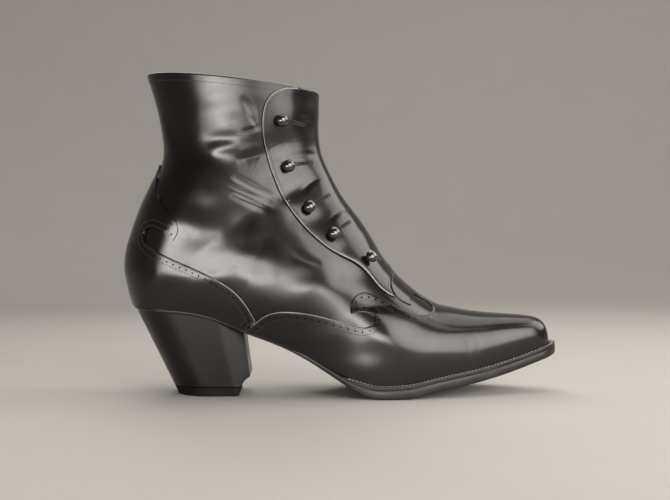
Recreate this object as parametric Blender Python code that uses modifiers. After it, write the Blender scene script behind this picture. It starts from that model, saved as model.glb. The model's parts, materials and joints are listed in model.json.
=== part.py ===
"""A right-foot button ankle boot, modelled piece by piece as a bootmaker puts it together.

Frame: +X points to the toe, -Y to the outer side of the foot, +Z up, and the floor is z = 0.
Sizes and tables are in millimetres, and MM turns them into Blender's metres.
"""

import bmesh
import bpy
import numpy as np
from mathutils import Vector
from mathutils.bvhtree import BVHTree

MM = 0.001

# Leather thicknesses and the gap that pieces keep to each other
WALL = 2.0
GAP = 0.3
INSOLE_THICKNESS = 3.0
INSOLE_CLEARANCE = 1.4
INSOLE_BEVEL = 0.5
WELT_HEIGHT = 2.5
OVERLAY_THICKNESS = 1.3
FLAP_THICKNESS = 1.8
LASTING_TRIM = 1.2

# Feather line, where the upper meets the sole, seen from above
TOE_TIP = 137.3
TOE_ROUND_FROM = 128.0
TOE_ROUND_POWER = 3.0
TOE_MIDDLE = 3.3
HEEL_END = -134.7
HEEL_ROUND_FROM = -112.0
END_TURN_DEGREES = (20, 38, 53, 66, 76, 84, 88)
PLAN_COLUMNS = ("x", "outer", "inner")
PLAN = (
    (-142.0, 25.0, 25.0),
    (-112.0, 26.0, 26.0),
    (-88.0, 26.6, 26.2),
    (-60.0, 24.6, 22.6),
    (-35.0, 24.6, 18.4),
    (-12.0, 28.6, 18.4),
    (10.0, 34.4, 25.0),
    (30.0, 36.4, 32.0),
    (50.0, 34.2, 35.6),
    (70.0, 28.8, 33.8),
    (90.0, 22.0, 28.6),
    (110.0, 14.9, 22.0),
    (128.0, 8.8, 15.4),
    (144.0, 3.4, 9.9),
)

# Side view of the outsole: its underside, its thickness and how far it stands out from the feather line
SOLE_COLUMNS = ("x", "underside", "thickness", "margin")
SOLE = (
    (-142.0, 56.3, 3.2, 0.4),
    (-110.0, 53.2, 3.2, 0.4),
    (-85.0, 49.2, 3.2, 0.5),
    (-62.0, 40.3, 3.0, 0.8),
    (-40.0, 31.8, 2.9, 1.2),
    (-18.0, 20.3, 3.0, 2.2),
    (0.0, 9.0, 3.9, 3.8),
    (14.0, 2.0, 5.0, 4.7),
    (33.0, -0.5, 5.8, 5.0),
    (55.0, 3.4, 5.9, 5.0),
    (87.0, 9.2, 5.6, 5.0),
    (120.0, 17.8, 5.3, 5.0),
    (143.0, 25.4, 5.0, 5.0),
)
SOLE_EDGE_BEVEL = 1.0
SOLE_ROW_STEP = 10.0

# Welt strip on the forefoot margin
WELT_INSET = 3.3
WELT_OUTSET = 4.8
WELT_OUTER_START = -4.0
WELT_INNER_START = 38.0
WELT_TURN_STEPS = 8

# Upper: each row is a slanting section from its base on the sole or back seam to its crest in front
SECTION_COLUMNS = (
    "base_x", "base_z", "crest_x", "crest_z", "ridge_y",
    "outer_width", "inner_width", "widest_at", "crown", "flank",
)
SECTIONS = {
    "toe edge": (128.0, 0.0, 137.3, 27.7, 3.3, 12.1, 12.1, 0.06, 2.1, 1.0),
    "toe wall": (125.5, 0.0, 135.4, 38.6, 3.3, 13.2, 13.2, 0.16, 2.7, 1.0),
    "toe crown": (121.0, 0.0, 131.4, 45.4, 3.3, 15.0, 15.0, 0.22, 2.9, 1.0),
    "toe top": (113.0, 0.0, 121.5, 48.0, 3.3, 18.1, 18.1, 0.26, 2.9, 1.0),
    "toe box": (101.0, 0.0, 104.5, 49.2, 3.2, 22.5, 22.5, 0.29, 2.7, 1.0),
    "toe throat": (84.0, 0.0, 84.5, 51.3, 3.0, 28.6, 28.6, 0.31, 2.4, 1.0),
    "ball front": (64.0, 0.0, 62.0, 57.2, 2.6, 35.0, 33.6, 0.33, 2.15, 1.0),
    "ball": (42.0, 0.0, 42.5, 70.3, 2.2, 39.2, 34.6, 0.34, 1.95, 1.0),
    "waist front": (20.0, 0.0, 28.3, 85.2, 1.8, 39.2, 31.6, 0.37, 1.85, 1.0),
    "waist": (-4.0, 0.0, 21.6, 95.5, 1.4, 35.6, 30.0, 0.41, 1.85, 1.0),
    "arch": (-30.0, 0.0, 12.7, 108.6, 1.0, 34.0, 30.8, 0.42, 1.9, 1.0),
    "breast": (-58.0, 0.0, 4.5, 119.2, 0.6, 33.2, 31.6, 0.40, 2.0, 1.05),
    "heel seat": (-88.0, 0.0, -2.8, 129.3, 0.3, 32.2, 32.2, 0.34, 2.1, 1.25),
    "heel turn": (-115.0, 0.0, -8.0, 138.8, 0.0, 31.6, 31.6, 0.265, 2.2, 1.65),
    "heel corner": (-129.5, 0.0, -11.6, 146.0, 0.0, 31.5, 31.5, 0.23, 2.2, 1.95),
    "heel back": (-134.7, 58.0, -13.9, 151.5, 0.0, 31.5, 31.5, 0.225, 2.2, 2.0),
    "counter low": (-137.6, 67.8, -15.6, 157.5, 0.0, 31.4, 31.4, 0.24, 2.2, 2.0),
    "counter bulge": (-139.8, 85.0, -16.8, 165.5, 0.0, 30.9, 30.9, 0.28, 2.2, 2.0),
    "counter high": (-134.2, 108.8, -17.1, 174.3, 0.0, 30.2, 30.2, 0.36, 2.15, 2.0),
    "counter top": (-125.0, 130.9, -17.0, 180.3, 0.0, 30.0, 30.0, 0.42, 2.1, 2.0),
    "ankle": (-117.2, 153.0, -16.9, 185.2, 0.0, 30.3, 30.3, 0.45, 2.05, 2.0),
    "shaft": (-119.2, 179.5, -16.8, 189.8, 0.0, 31.8, 31.8, 0.46, 2.0, 2.0),
    "collar": (-126.8, 205.0, -16.7, 194.2, 0.0, 34.0, 34.0, 0.46, 2.0, 2.0),
}
SEAM_STATION = list(SECTIONS).index("heel back")
LAST_STATION = len(SECTIONS) - 1
STATION_STEP = 0.5
HALF_COLUMNS = 10
SECTION_SAMPLES = 200
SEAM_FADE = 3.0

# Fullness that rounds the heel off just above its corner: area per station, over a span of stations
HEEL_FULLNESS = 330.0
HEEL_FULL_SPAN = 2.0

# Heel: a D-shaped block between two plan rings, with a scoop across the foot of its breast
HEEL_COLUMNS = ("z", "back", "front", "half_width", "chamfer_length", "chamfer_width")
HEEL_FOOT = (0.0, -106.2, -57.4, 21.5, 10.5, 5.0)
HEEL_HEAD = (70.0, -140.8, -67.6, 27.0, 17.5, 8.0)
HEEL_ARC_STEPS = 12
LIFT_HEIGHT = 5.5
SCOOP_X = -53.9
SCOOP_Z = 1.0
SCOOP_RADIUS = 12.2
SCOOP_SIDES = 40

# Overlays in side view: smooth runs of (x, z) that meet in a corner, closed by points off the boot
VAMP_TAIL = (
    (-61.0, 41.0), (-50.0, 51.2), (-32.0, 54.1), (-12.6, 50.7), (6.5, 45.4),
    (15.5, 45.4), (19.2, 50.0), (14.5, 53.6), (4.2, 52.7),
)
VAMP_SCROLL = (
    (4.2, 52.7), (4.0, 58.0), (7.3, 64.0), (12.7, 66.1), (19.0, 64.6), (28.0, 60.3), (39.0, 53.6),
    (47.0, 51.2), (54.5, 51.6), (58.3, 54.6), (55.5, 58.9), (50.0, 62.2), (45.6, 63.7), (42.8, 61.5),
    (43.2, 57.4),
)
VAMP_HORN = ((43.2, 57.4), (35.5, 61.4), (31.4, 66.0), (30.5, 71.0), (32.4, 75.6), (37.0, 80.0))
VAMP_OUTSIDE = ((60.0, 90.0), (160.0, 90.0), (160.0, -10.0), (-50.0, -10.0))
COUNTER_FOOT = ((-64.0, 40.0), (-61.2, 43.4), (-55.5, 48.4))
COUNTER_CURL = (
    (-55.5, 48.4), (-59.9, 56.3), (-66.0, 64.3), (-78.0, 73.3), (-96.1, 82.4), (-113.3, 90.1),
    (-121.3, 95.0), (-124.7, 100.6), (-123.4, 105.2), (-119.0, 106.6), (-114.0, 104.6), (-106.5, 98.3),
)
COUNTER_TAB = (
    (-106.5, 98.3), (-103.5, 104.0), (-104.6, 110.0), (-109.0, 115.7),
    (-114.2, 123.0), (-117.4, 131.0), (-118.4, 139.0), (-117.5, 148.5),
)
COUNTER_OUTSIDE = ((-160.0, 148.5), (-160.0, 30.0), (-70.0, 30.0))
FLAP_EDGE = (
    (-10.0, 195.4), (-28.0, 195.4), (-38.5, 194.4), (-46.5, 189.0), (-50.6, 178.0), (-50.3, 164.0),
    (-47.1, 149.4), (-40.5, 131.0), (-31.5, 116.0), (-19.0, 102.0), (-5.0, 91.2), (9.0, 83.7),
    (16.2, 77.0), (23.1, 69.0), (33.0, 62.5),
)
FLAP_END = ((33.0, 62.5), (30.6, 66.0), (29.7, 71.2), (31.6, 76.2), (36.2, 80.6))
FLAP_SEAM = (
    (-10.0, 195.4), (-26.5, 195.4), (-28.6, 180.0), (-28.0, 165.0), (-24.0, 150.0),
    (-16.0, 136.0), (-4.0, 119.0), (8.0, 104.0), (18.0, 90.0), (25.5, 80.0), (29.8, 73.6),
)
FLAP_SEAM_END = ((29.8, 73.6), (31.6, 76.2), (36.2, 80.6))
FLAP_OUTSIDE = ((60.0, 90.0), (30.0, 150.0), (10.0, 195.4))
FLAP_OUTER_TO = 1.0
FLAP_INNER_FROM = 0.5
OUTLINE_STEP = 4.0

# Buttons: where their heads stand in side view, down the flap, and their turned shape
BUTTONS = ((-38.3, 173.7), (-34.3, 145.8), (-21.4, 120.4), (-6.0, 103.6), (18.1, 88.9))
BUTTON_RADIUS = 4.0
BUTTON_DOME = 2.9
BUTTON_LIFT = 3.7
SHANK_RADIUS = 1.5
BUTTON_ARC_STEPS = 5
BUTTON_TURN_STEPS = 10
BUTTON_PLACE_STEPS = 6

# Room that the cutters take round the boot
CUTTER_REACH = 150.0
CUTTER_HALF_WIDTH = 60.0
CUTTER_TOP = 120.0
CUTTER_FLOOR = -20.0

# Edges that turn by more than this stay sharp in the shading
SHARP_DEGREES = 35

# Points closer than this are one point
SAME_POINT = 0.001

# Finishes: colour, roughness and metallic value
FINISHES = {
    "black leather": ((0.012, 0.012, 0.013, 1.0), 0.32, 0.0),
    "sole leather": ((0.020, 0.018, 0.017, 1.0), 0.48, 0.0),
    "heel leather": ((0.014, 0.013, 0.013, 1.0), 0.38, 0.0),
    "button gloss": ((0.010, 0.010, 0.011, 1.0), 0.12, 0.0),
    "rubber": ((0.016, 0.016, 0.016, 1.0), 0.7, 0.0),
    "lining leather": ((0.16, 0.12, 0.09, 1.0), 0.6, 0.0),
}


def clear_scene():
    """Remove whatever the scene holds."""
    for old in list(bpy.data.objects):
        bpy.data.objects.remove(old, do_unlink=True)


def make_collection(name):
    """Make a collection in the scene."""
    collection = bpy.data.collections.new(name)
    bpy.context.scene.collection.children.link(collection)
    return collection


def make_material(name):
    """Make one finish as a Principled material."""
    colour, roughness, metallic = FINISHES[name]
    material = bpy.data.materials.new(name)
    material.use_nodes = True
    shader = material.node_tree.nodes["Principled BSDF"]
    shader.inputs["Base Color"].default_value = colour
    shader.inputs["Roughness"].default_value = roughness
    shader.inputs["Metallic"].default_value = metallic
    return material


def column(table, names, name):
    """Read one named column of a table."""
    return np.array([row[names.index(name)] for row in table], float)


def spline(knots, values, at):
    """Natural cubic spline through (knots, values), read at the places in at."""
    at = np.asarray(at, float)
    step = np.diff(knots)
    matrix = np.diag(2 * (step[:-1] + step[1:]))
    matrix += np.diag(step[1:-1], 1) + np.diag(step[1:-1], -1)
    bend = np.zeros(len(knots))
    bend[1:-1] = np.linalg.solve(matrix, 6 * np.diff(np.diff(values) / step))
    left = np.clip(np.searchsorted(knots, at) - 1, 0, len(step) - 1)
    width = step[left]
    near = (knots[left + 1] - at) / width
    far = 1 - near
    straight = near * values[left] + far * values[left + 1]
    curl = (near**3 - near) * bend[left] + (far**3 - far) * bend[left + 1]
    return straight + curl * width**2 / 6


def sole_value(name, x):
    """Read a column of the sole's side view at x."""
    return spline(column(SOLE, SOLE_COLUMNS, "x"), column(SOLE, SOLE_COLUMNS, name), x)


def sole_underside(x):
    """Height of the outsole's underside, flat on the floor under the ball."""
    return np.maximum(sole_value("underside", x), 0.0)


def sole_top(x):
    """Height of the outsole's upper face."""
    return sole_underside(x) + sole_value("thickness", x)


def plan_edge(x, side, grow=0.0):
    """Plan outline, moved out by grow: side -1 is the outer edge and +1 the inner edge."""
    x = np.asarray(x, float)
    name = "inner" if side > 0 else "outer"
    edge = side * (spline(column(PLAN, PLAN_COLUMNS, "x"), column(PLAN, PLAN_COLUMNS, name), x) + grow)
    toe = np.clip((x - TOE_ROUND_FROM) / (TOE_TIP + grow - TOE_ROUND_FROM), 0, 1)
    heel = np.clip((HEEL_ROUND_FROM - x) / (HEEL_ROUND_FROM - HEEL_END + grow), 0, 1)
    toe_share = (1 - toe**TOE_ROUND_POWER) ** (1 / TOE_ROUND_POWER)
    heel_share = np.sqrt(1 - heel**2)
    return (TOE_MIDDLE + (edge - TOE_MIDDLE) * toe_share) * heel_share


def plan_rows(grow_toe, grow_heel):
    """Places along the foot for plan sections, closer together where the ends turn round."""
    turn = np.sin(np.radians(END_TURN_DEGREES))
    heel = HEEL_ROUND_FROM - turn[::-1] * (HEEL_ROUND_FROM - HEEL_END + grow_heel)
    straight = np.arange(HEEL_ROUND_FROM, TOE_ROUND_FROM + 1, SOLE_ROW_STEP)
    toe = TOE_ROUND_FROM + turn * (TOE_TIP + grow_toe - TOE_ROUND_FROM)
    return np.concatenate((heel, straight, toe))


def section_column(name, stations):
    """Read a column of the upper's section table at the given stations."""
    rows = list(SECTIONS.values())
    return spline(np.arange(len(rows), dtype=float), column(rows, SECTION_COLUMNS, name), stations)


def section_base(stations):
    """Base of each section: on the sole as far as the heel, and on the back seam above it."""
    x = section_column("base_x", stations)
    back = list(SECTIONS.values())[SEAM_STATION:]
    knots = np.arange(SEAM_STATION, LAST_STATION + 1, dtype=float)
    seam_z = spline(knots, column(back, SECTION_COLUMNS, "base_z"), np.maximum(stations, SEAM_STATION))
    on_sole = stations < SEAM_STATION
    return x, np.where(on_sole, sole_top(x) + GAP - LASTING_TRIM, seam_z)


def section_half(stations, side):
    """Half of each section from base to crest: shares of the chord, widths from the ridge, spacing guide.

    Below the widest place the width swells from the feather line: its flank power rises with the
    square of a sine, which gives a straight flare at power 1 and an ellipse at power 2.
    Above the widest place the width closes to the crest along a superellipse.
    The guide is the same width with the base drawn together towards the back seam, so that columns
    spaced along it don't jump where the seam begins.
    """
    base_x, _ = section_base(stations)
    ridge = section_column("ridge_y", stations)
    feather = np.maximum(side * (plan_edge(np.maximum(base_x, HEEL_END), side) - ridge), 0.0)
    feather = np.where(stations < SEAM_STATION, feather, 0.0)[:, None]
    drawn = feather * np.clip((SEAM_STATION - stations) / SEAM_FADE, 0, 1)[:, None]
    widest = section_column("inner_width" if side > 0 else "outer_width", stations)[:, None]
    place = section_column("widest_at", stations)[:, None]
    crown = 2 / section_column("crown", stations)[:, None]
    flank = section_column("flank", stations)[:, None]
    turn = np.linspace(0, np.pi / 2, SECTION_SAMPLES)[None, :]
    low_share = place * (1 - np.cos(turn))
    rise = np.clip((stations - SEAM_STATION) / HEEL_FULL_SPAN, 0, 1)[:, None]
    fullness = HEEL_FULLNESS * HEEL_FULL_SPAN * rise * (1 - rise) ** 2
    high_share = place + (1 - place) * np.sin(turn) ** crown
    high_width = widest * np.clip(np.cos(turn), 0, 1) ** crown
    share = np.concatenate((low_share, high_share[:, 1:]), axis=1)
    both = []
    for edge in (feather, drawn):
        swell = (edge**flank + (widest**flank - edge**flank) * np.sin(turn) ** 2) ** (1 / flank)
        low_width = np.sqrt(swell**2 + fullness * np.cos(turn) * (1 - np.cos(turn)))
        both.append(np.concatenate((low_width, high_width[:, 1:]), axis=1))
    return share, both[0], both[1]


def upper_grid(stations, half_columns):
    """Points of the upper's outer face, a row for each station, spaced evenly along its guide."""
    base_x, base_z = section_base(stations)
    crest_x = section_column("crest_x", stations)
    crest_z = section_column("crest_z", stations)
    ridge = section_column("ridge_y", stations)
    reach = np.hypot(crest_x - base_x, crest_z - base_z)
    even = np.linspace(0, 1, half_columns + 1)
    halves = []
    for side in (-1, 1):
        share, width, guide = section_half(stations, side)
        half = np.empty((len(stations), half_columns + 1, 3))
        for row in range(len(stations)):
            run = np.hypot(np.diff(share[row]) * reach[row], np.diff(guide[row]))
            along = np.concatenate(((0.0,), np.cumsum(run)))
            here = np.interp(even * along[-1], along, share[row])
            half[row, :, 0] = base_x[row] + here * (crest_x[row] - base_x[row])
            half[row, :, 1] = ridge[row] + side * np.interp(even * along[-1], along, width[row])
            half[row, :, 2] = base_z[row] + here * (crest_z[row] - base_z[row])
        halves.append(half)
    outer, inner = halves
    return np.concatenate((outer, inner[:, -2::-1]), axis=1)


def add_object(name, mesh, collection, material=None):
    """Put a mesh into a collection as a named object."""
    made = bpy.data.objects.new(name, mesh)
    collection.objects.link(made)
    if material is not None:
        mesh.materials.append(material)
    return made


def mesh_from(name, points, faces):
    """Make a mesh from points in millimetres."""
    mesh = bpy.data.meshes.new(name)
    mesh.from_pydata([tuple(point) for point in np.asarray(points) * MM], [], faces)
    mesh.update()
    return mesh


def loft(name, rings):
    """Closed skin over rings of equal count, with flat caps on the first and last."""
    rings = np.asarray(rings, float)
    rows, count = rings.shape[:2]
    faces = []
    for row in range(rows - 1):
        for corner in range(count):
            following = (corner + 1) % count
            faces.append((
                row * count + corner,
                row * count + following,
                (row + 1) * count + following,
                (row + 1) * count + corner,
            ))
    faces.append(tuple(range(count))[::-1])
    faces.append(tuple((rows - 1) * count + corner for corner in range(count)))
    mesh = mesh_from(name, rings.reshape(-1, 3), faces)
    shaped = bmesh.new()
    shaped.from_mesh(mesh)
    bmesh.ops.recalc_face_normals(shaped, faces=shaped.faces)
    shaped.to_mesh(mesh)
    shaped.free()
    return mesh


def add_boolean(target, cutter, operation):
    """Cut, keep or join with another object."""
    boolean = target.modifiers.new(operation.title(), "BOOLEAN")
    boolean.operation = operation
    boolean.solver = "EXACT"
    boolean.object = cutter


def hide_cutter(cutter):
    """Show a cutter as wire and keep it out of the model."""
    cutter.hide_render = True
    cutter.display_type = "WIRE"


def plate_rings(rows, outer, inner, low, high, bevel):
    """Rings of a plate that follows the foot: its lower edges are bevelled."""
    rings = []
    for x, left, right, bottom, top in zip(rows, outer, inner, low, high):
        cut = min(bevel, (right - left) / 4)
        rings.append((
            (x, left, top),
            (x, right, top),
            (x, right, bottom + cut),
            (x, right - cut, bottom),
            (x, left + cut, bottom),
            (x, left, bottom + cut),
        ))
    return rings


def build_outsole(collection, material):
    """Outsole from heel seat to toe, with its arch and toe spring."""
    rows = plan_rows(sole_value("margin", TOE_TIP), sole_value("margin", HEEL_END))
    margin = sole_value("margin", rows)
    rings = plate_rings(
        rows,
        [plan_edge(x, -1, grow) for x, grow in zip(rows, margin)],
        [plan_edge(x, 1, grow) for x, grow in zip(rows, margin)],
        sole_underside(rows),
        sole_top(rows),
        SOLE_EDGE_BEVEL,
    )
    return add_object("outsole", loft("outsole", rings), collection, material)


def build_insole(collection, material):
    """Footbed that lies on the outsole inside the upper."""
    inset = -(WALL + INSOLE_CLEARANCE)
    rows = plan_rows(inset, inset)
    rings = plate_rings(
        rows,
        plan_edge(rows, -1, inset),
        plan_edge(rows, 1, inset),
        sole_top(rows) + GAP,
        sole_top(rows) + GAP + INSOLE_THICKNESS,
        INSOLE_BEVEL,
    )
    return add_object("insole", loft("insole", rings), collection, material)


def build_welt(collection, material):
    """Strip on the forefoot margin, carried from the outer waist round the toe to the inner ball."""
    turn = np.sin(np.linspace(0, np.pi / 2, WELT_TURN_STEPS + 1))
    outer_rows = np.arange(WELT_OUTER_START, TOE_ROUND_FROM, SOLE_ROW_STEP)
    inner_rows = np.arange(TOE_ROUND_FROM - SOLE_ROW_STEP, WELT_INNER_START, -SOLE_ROW_STEP)
    path = [(-1, x, None) for x in outer_rows]
    path += [(-1, None, share) for share in turn]
    path += [(1, None, share) for share in turn[-2::-1]]
    path += [(1, x, None) for x in inner_rows]
    rings = []
    for side, x, share in path:
        ring = []
        for grow in (WELT_INSET, WELT_OUTSET):
            place = x if share is None else TOE_ROUND_FROM + share * (TOE_TIP + grow - TOE_ROUND_FROM)
            y = float(plan_edge(place, side, grow))
            low = float(sole_top(place)) + GAP
            ring += [(place, y, low), (place, y, low + WELT_HEIGHT)]
        rings.append((ring[0], ring[1], ring[3], ring[2]))
    return add_object("welt", loft("welt", rings), collection, material)


def heel_ring(z):
    """Plan ring of the heel at a height: a round back, straight sides and chamfered front corners."""
    share = (z - HEEL_FOOT[0]) / (HEEL_HEAD[0] - HEEL_FOOT[0])
    size = [low + share * (high - low) for low, high in zip(HEEL_FOOT, HEEL_HEAD)]
    _, back, front, half, chamfer_length, chamfer_width = size
    ring = [(front, half - chamfer_width, z), (front - chamfer_length, half, z)]
    for angle in np.linspace(np.pi / 2, 3 * np.pi / 2, HEEL_ARC_STEPS + 1):
        ring.append((back + half + half * np.cos(angle), half * np.sin(angle), z))
    return ring + [(front - chamfer_length, -half, z), (front, chamfer_width - half, z)]


def build_scoop(collection):
    """Cylinder that scoops the foot of the heel's breast."""
    bpy.ops.mesh.primitive_cylinder_add(
        vertices=SCOOP_SIDES,
        radius=SCOOP_RADIUS * MM,
        depth=2 * CUTTER_HALF_WIDTH * MM,
        location=(SCOOP_X * MM, 0, SCOOP_Z * MM),
        rotation=(np.pi / 2, 0, 0),
    )
    scoop = bpy.context.active_object
    scoop.name = "heel scoop"
    for holder in list(scoop.users_collection):
        holder.objects.unlink(scoop)
    collection.objects.link(scoop)
    hide_cutter(scoop)
    return scoop


def build_bed_cutter(name, collection, rows, near, far):
    """Block that follows the sole from end to end, between the heights near and far at each row."""
    side = CUTTER_HALF_WIDTH
    rings = []
    for x, here, there in zip(rows, near, far):
        rings.append(((x, -side, here), (x, side, here), (x, side, there), (x, -side, there)))
    cutter = add_object(name, loft(name, rings), collection)
    hide_cutter(cutter)
    return cutter


def build_seat_cutter(collection):
    """Everything above the outsole's underside, which shapes the head of the heel block."""
    rows = cutter_rows()
    rows = rows[rows < 0]
    height = np.full(len(rows), CUTTER_TOP)
    return build_bed_cutter("heel seat cutter", collection, rows, sole_underside(rows) - GAP, height)


def build_sole_cutter(collection):
    """Everything below the outsole's upper face, which trims the upper and its overlays."""
    rows = cutter_rows()
    depth = np.full(len(rows), CUTTER_FLOOR)
    return build_bed_cutter("sole bed cutter", collection, rows, sole_top(rows) + GAP, depth)


def cutter_rows():
    """Rows along the foot that match the outsole's, reaching past both of its ends."""
    inside = plan_rows(sole_value("margin", TOE_TIP), sole_value("margin", HEEL_END))
    return np.concatenate(((-CUTTER_REACH,), inside, (CUTTER_REACH,)))


def build_heel(collection, cutters, leather, rubber):
    """Heel block under the seat, and the rubber lift below it."""
    scoop = build_scoop(cutters)
    lift = loft("heel_lift", (heel_ring(0.0), heel_ring(LIFT_HEIGHT)))
    lift = add_object("heel_lift", lift, collection, rubber)
    add_boolean(lift, scoop, "DIFFERENCE")
    block = loft("heel_block", (heel_ring(LIFT_HEIGHT + GAP), heel_ring(HEEL_HEAD[0])))
    block = add_object("heel_block", block, collection, leather)
    add_boolean(block, scoop, "DIFFERENCE")
    add_boolean(block, build_seat_cutter(cutters), "DIFFERENCE")
    return lift, block


def upper_stations():
    """Stations of the upper's rows, from the toe to the collar."""
    return np.arange(0, LAST_STATION + STATION_STEP, STATION_STEP)


def upper_skin(name):
    """Open outer face of the upper, sewn up along the back seam."""
    grid = upper_grid(upper_stations(), HALF_COLUMNS)
    rows, count = grid.shape[:2]
    faces = []
    for row in range(rows - 1):
        for step in range(count - 1):
            corner = row * count + step
            faces.append((corner, corner + 1, corner + count + 1, corner + count))
    mesh = mesh_from(name, grid.reshape(-1, 3), faces)
    shaped = bmesh.new()
    shaped.from_mesh(mesh)
    bmesh.ops.remove_doubles(shaped, verts=shaped.verts, dist=SAME_POINT * MM)
    bmesh.ops.triangulate(shaped, faces=shaped.faces, quad_method="SHORT_EDGE")
    shaped.to_mesh(mesh)
    shaped.free()
    return mesh


def build_upper(collection, material, sole_cutter):
    """Hollow lasted upper, open at the collar and underneath."""
    upper = add_object("upper", upper_skin("upper"), collection, material)
    wall = upper.modifiers.new("Wall", "SOLIDIFY")
    wall.thickness = WALL * MM
    wall.offset = -1.0
    add_boolean(upper, sole_cutter, "DIFFERENCE")
    return upper


def flowing(points):
    """Smooth run through a few points, sampled at even steps."""
    points = np.asarray(points, float)
    along = np.concatenate(((0.0,), np.cumsum(np.hypot(*np.diff(points, axis=0).T))))
    at = np.linspace(0, along[-1], max(2, int(along[-1] / OUTLINE_STEP)) + 1)
    return np.stack([spline(along, points[:, axis], at) for axis in (0, 1)], axis=1)


def side_prism(name, collection, runs, outside, y_from, y_to):
    """Cutter with a side-view outline, reaching across the boot from y_from to y_to."""
    outline = [point for run in runs for point in flowing(run)[:-1]]
    outline += [flowing(runs[-1])[-1]] + list(outside)
    curve = bpy.data.curves.new(name, "CURVE")
    curve.dimensions = "2D"
    curve.fill_mode = "BOTH"
    curve.extrude = (y_to - y_from) / 2 * MM
    edge = curve.splines.new("POLY")
    edge.points.add(len(outline) - 1)
    for point, (x, z) in zip(edge.points, outline):
        point.co = (x * MM, z * MM, 0, 1)
    edge.use_cyclic_u = True
    drawn = bpy.data.objects.new(name + " curve", curve)
    collection.objects.link(drawn)
    drawn.location = (0, (y_from + y_to) / 2 * MM, 0)
    drawn.rotation_euler = (np.pi / 2, 0, 0)
    bpy.context.view_layer.update()
    evaluated = drawn.evaluated_get(bpy.context.evaluated_depsgraph_get())
    mesh = bpy.data.meshes.new_from_object(evaluated)
    shaped = bmesh.new()
    shaped.from_mesh(mesh)
    bmesh.ops.remove_doubles(shaped, verts=shaped.verts, dist=SAME_POINT * MM)
    bmesh.ops.recalc_face_normals(shaped, faces=shaped.faces)
    shaped.to_mesh(mesh)
    shaped.free()
    prism = add_object(name, mesh, collection)
    prism.matrix_world = drawn.matrix_world
    bpy.data.objects.remove(drawn, do_unlink=True)
    hide_cutter(prism)
    return prism


def build_overlay(name, collection, material, thickness, prism, sole_cutter):
    """Leather laid over the upper: a shell from the upper's own face, kept inside a prism."""
    skin = upper_skin(name)
    shaped = bmesh.new()
    shaped.from_mesh(skin)
    shaped.normal_update()
    for vertex in shaped.verts:
        vertex.co += vertex.normal * GAP * MM
    shaped.to_mesh(skin)
    shaped.free()
    overlay = add_object(name, skin, collection, material)
    wall = overlay.modifiers.new("Leather", "SOLIDIFY")
    wall.thickness = thickness * MM
    wall.offset = 1.0
    add_boolean(overlay, prism, "INTERSECT")
    add_boolean(overlay, sole_cutter, "DIFFERENCE")
    return overlay


def build_overlays(collection, cutters, material, sole_cutter):
    """Vamp, heel counter and button flap."""
    reach = CUTTER_HALF_WIDTH
    runs = (VAMP_TAIL, VAMP_SCROLL, VAMP_HORN)
    vamp = side_prism("vamp cutter", cutters, runs, VAMP_OUTSIDE, -reach, reach)
    build_overlay("vamp", collection, material, OVERLAY_THICKNESS, vamp, sole_cutter)
    runs = (COUNTER_FOOT, COUNTER_CURL, COUNTER_TAB)
    counter = side_prism("counter cutter", cutters, runs, COUNTER_OUTSIDE, -reach, reach)
    build_overlay("counter", collection, material, OVERLAY_THICKNESS, counter, sole_cutter)
    runs = (FLAP_EDGE, FLAP_END)
    flap = side_prism("flap cutter", cutters, runs, FLAP_OUTSIDE, -reach, FLAP_OUTER_TO)
    runs = (FLAP_SEAM, FLAP_SEAM_END)
    seam = side_prism("flap seam cutter", cutters, runs, FLAP_OUTSIDE, FLAP_INNER_FROM, reach)
    add_boolean(flap, seam, "UNION")
    build_overlay("button_flap", collection, material, FLAP_THICKNESS, flap, sole_cutter)


def button_mesh(name):
    """Profile of a button: a dome on a shank, from its top down the outer side."""
    lowest = -np.arccos(SHANK_RADIUS / BUTTON_RADIUS)
    turn = np.linspace(np.pi / 2, lowest, BUTTON_ARC_STEPS + 1)
    radius = BUTTON_RADIUS * np.cos(turn)
    height = BUTTON_LIFT + BUTTON_DOME * np.sin(turn)
    profile = [(across, 0, up) for across, up in zip(radius, height)]
    profile[0] = (0, 0, BUTTON_LIFT + BUTTON_DOME)
    profile += [(SHANK_RADIUS, 0, 0), (0, 0, 0)]
    edges = [(step, step + 1) for step in range(len(profile) - 1)]
    mesh = bpy.data.meshes.new(name)
    mesh.from_pydata([tuple(np.array(point) * MM) for point in profile], edges, [])
    return mesh


def build_buttons(collection, material):
    """Buttons that stand on the flap, each along the upper's normal at its place."""
    shaped = bmesh.new()
    shaped.from_mesh(upper_skin("button guide"))
    face = BVHTree.FromBMesh(shaped)
    shaped.free()
    stand_off = (GAP + FLAP_THICKNESS + GAP) * MM
    head = stand_off + BUTTON_LIFT * MM
    for number, (x, z) in enumerate(BUTTONS, 1):
        normal = Vector((0, -1, 0))
        for _ in range(BUTTON_PLACE_STEPS):
            aim = Vector((x * MM - normal.x * head, -1.0, z * MM - normal.z * head))
            place, normal, _, _ = face.ray_cast(aim, Vector((0, 1, 0)))
        name = f"button_{number}"
        button = add_object(name, button_mesh(name), collection, material)
        turned = button.modifiers.new("Turn", "SCREW")
        turned.steps = BUTTON_TURN_STEPS
        turned.render_steps = BUTTON_TURN_STEPS
        turned.use_merge_vertices = True
        turned.merge_threshold = 0.0001 * MM
        button.location = place + normal * stand_off
        button.rotation_euler = normal.to_track_quat("Z", "Y").to_euler()


def smooth_shade(parts):
    """Shade round pieces smooth and keep their real edges."""
    for part in parts:
        part.data.shade_smooth()
        part.data.set_sharp_from_angle(angle=np.radians(SHARP_DEGREES))


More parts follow.
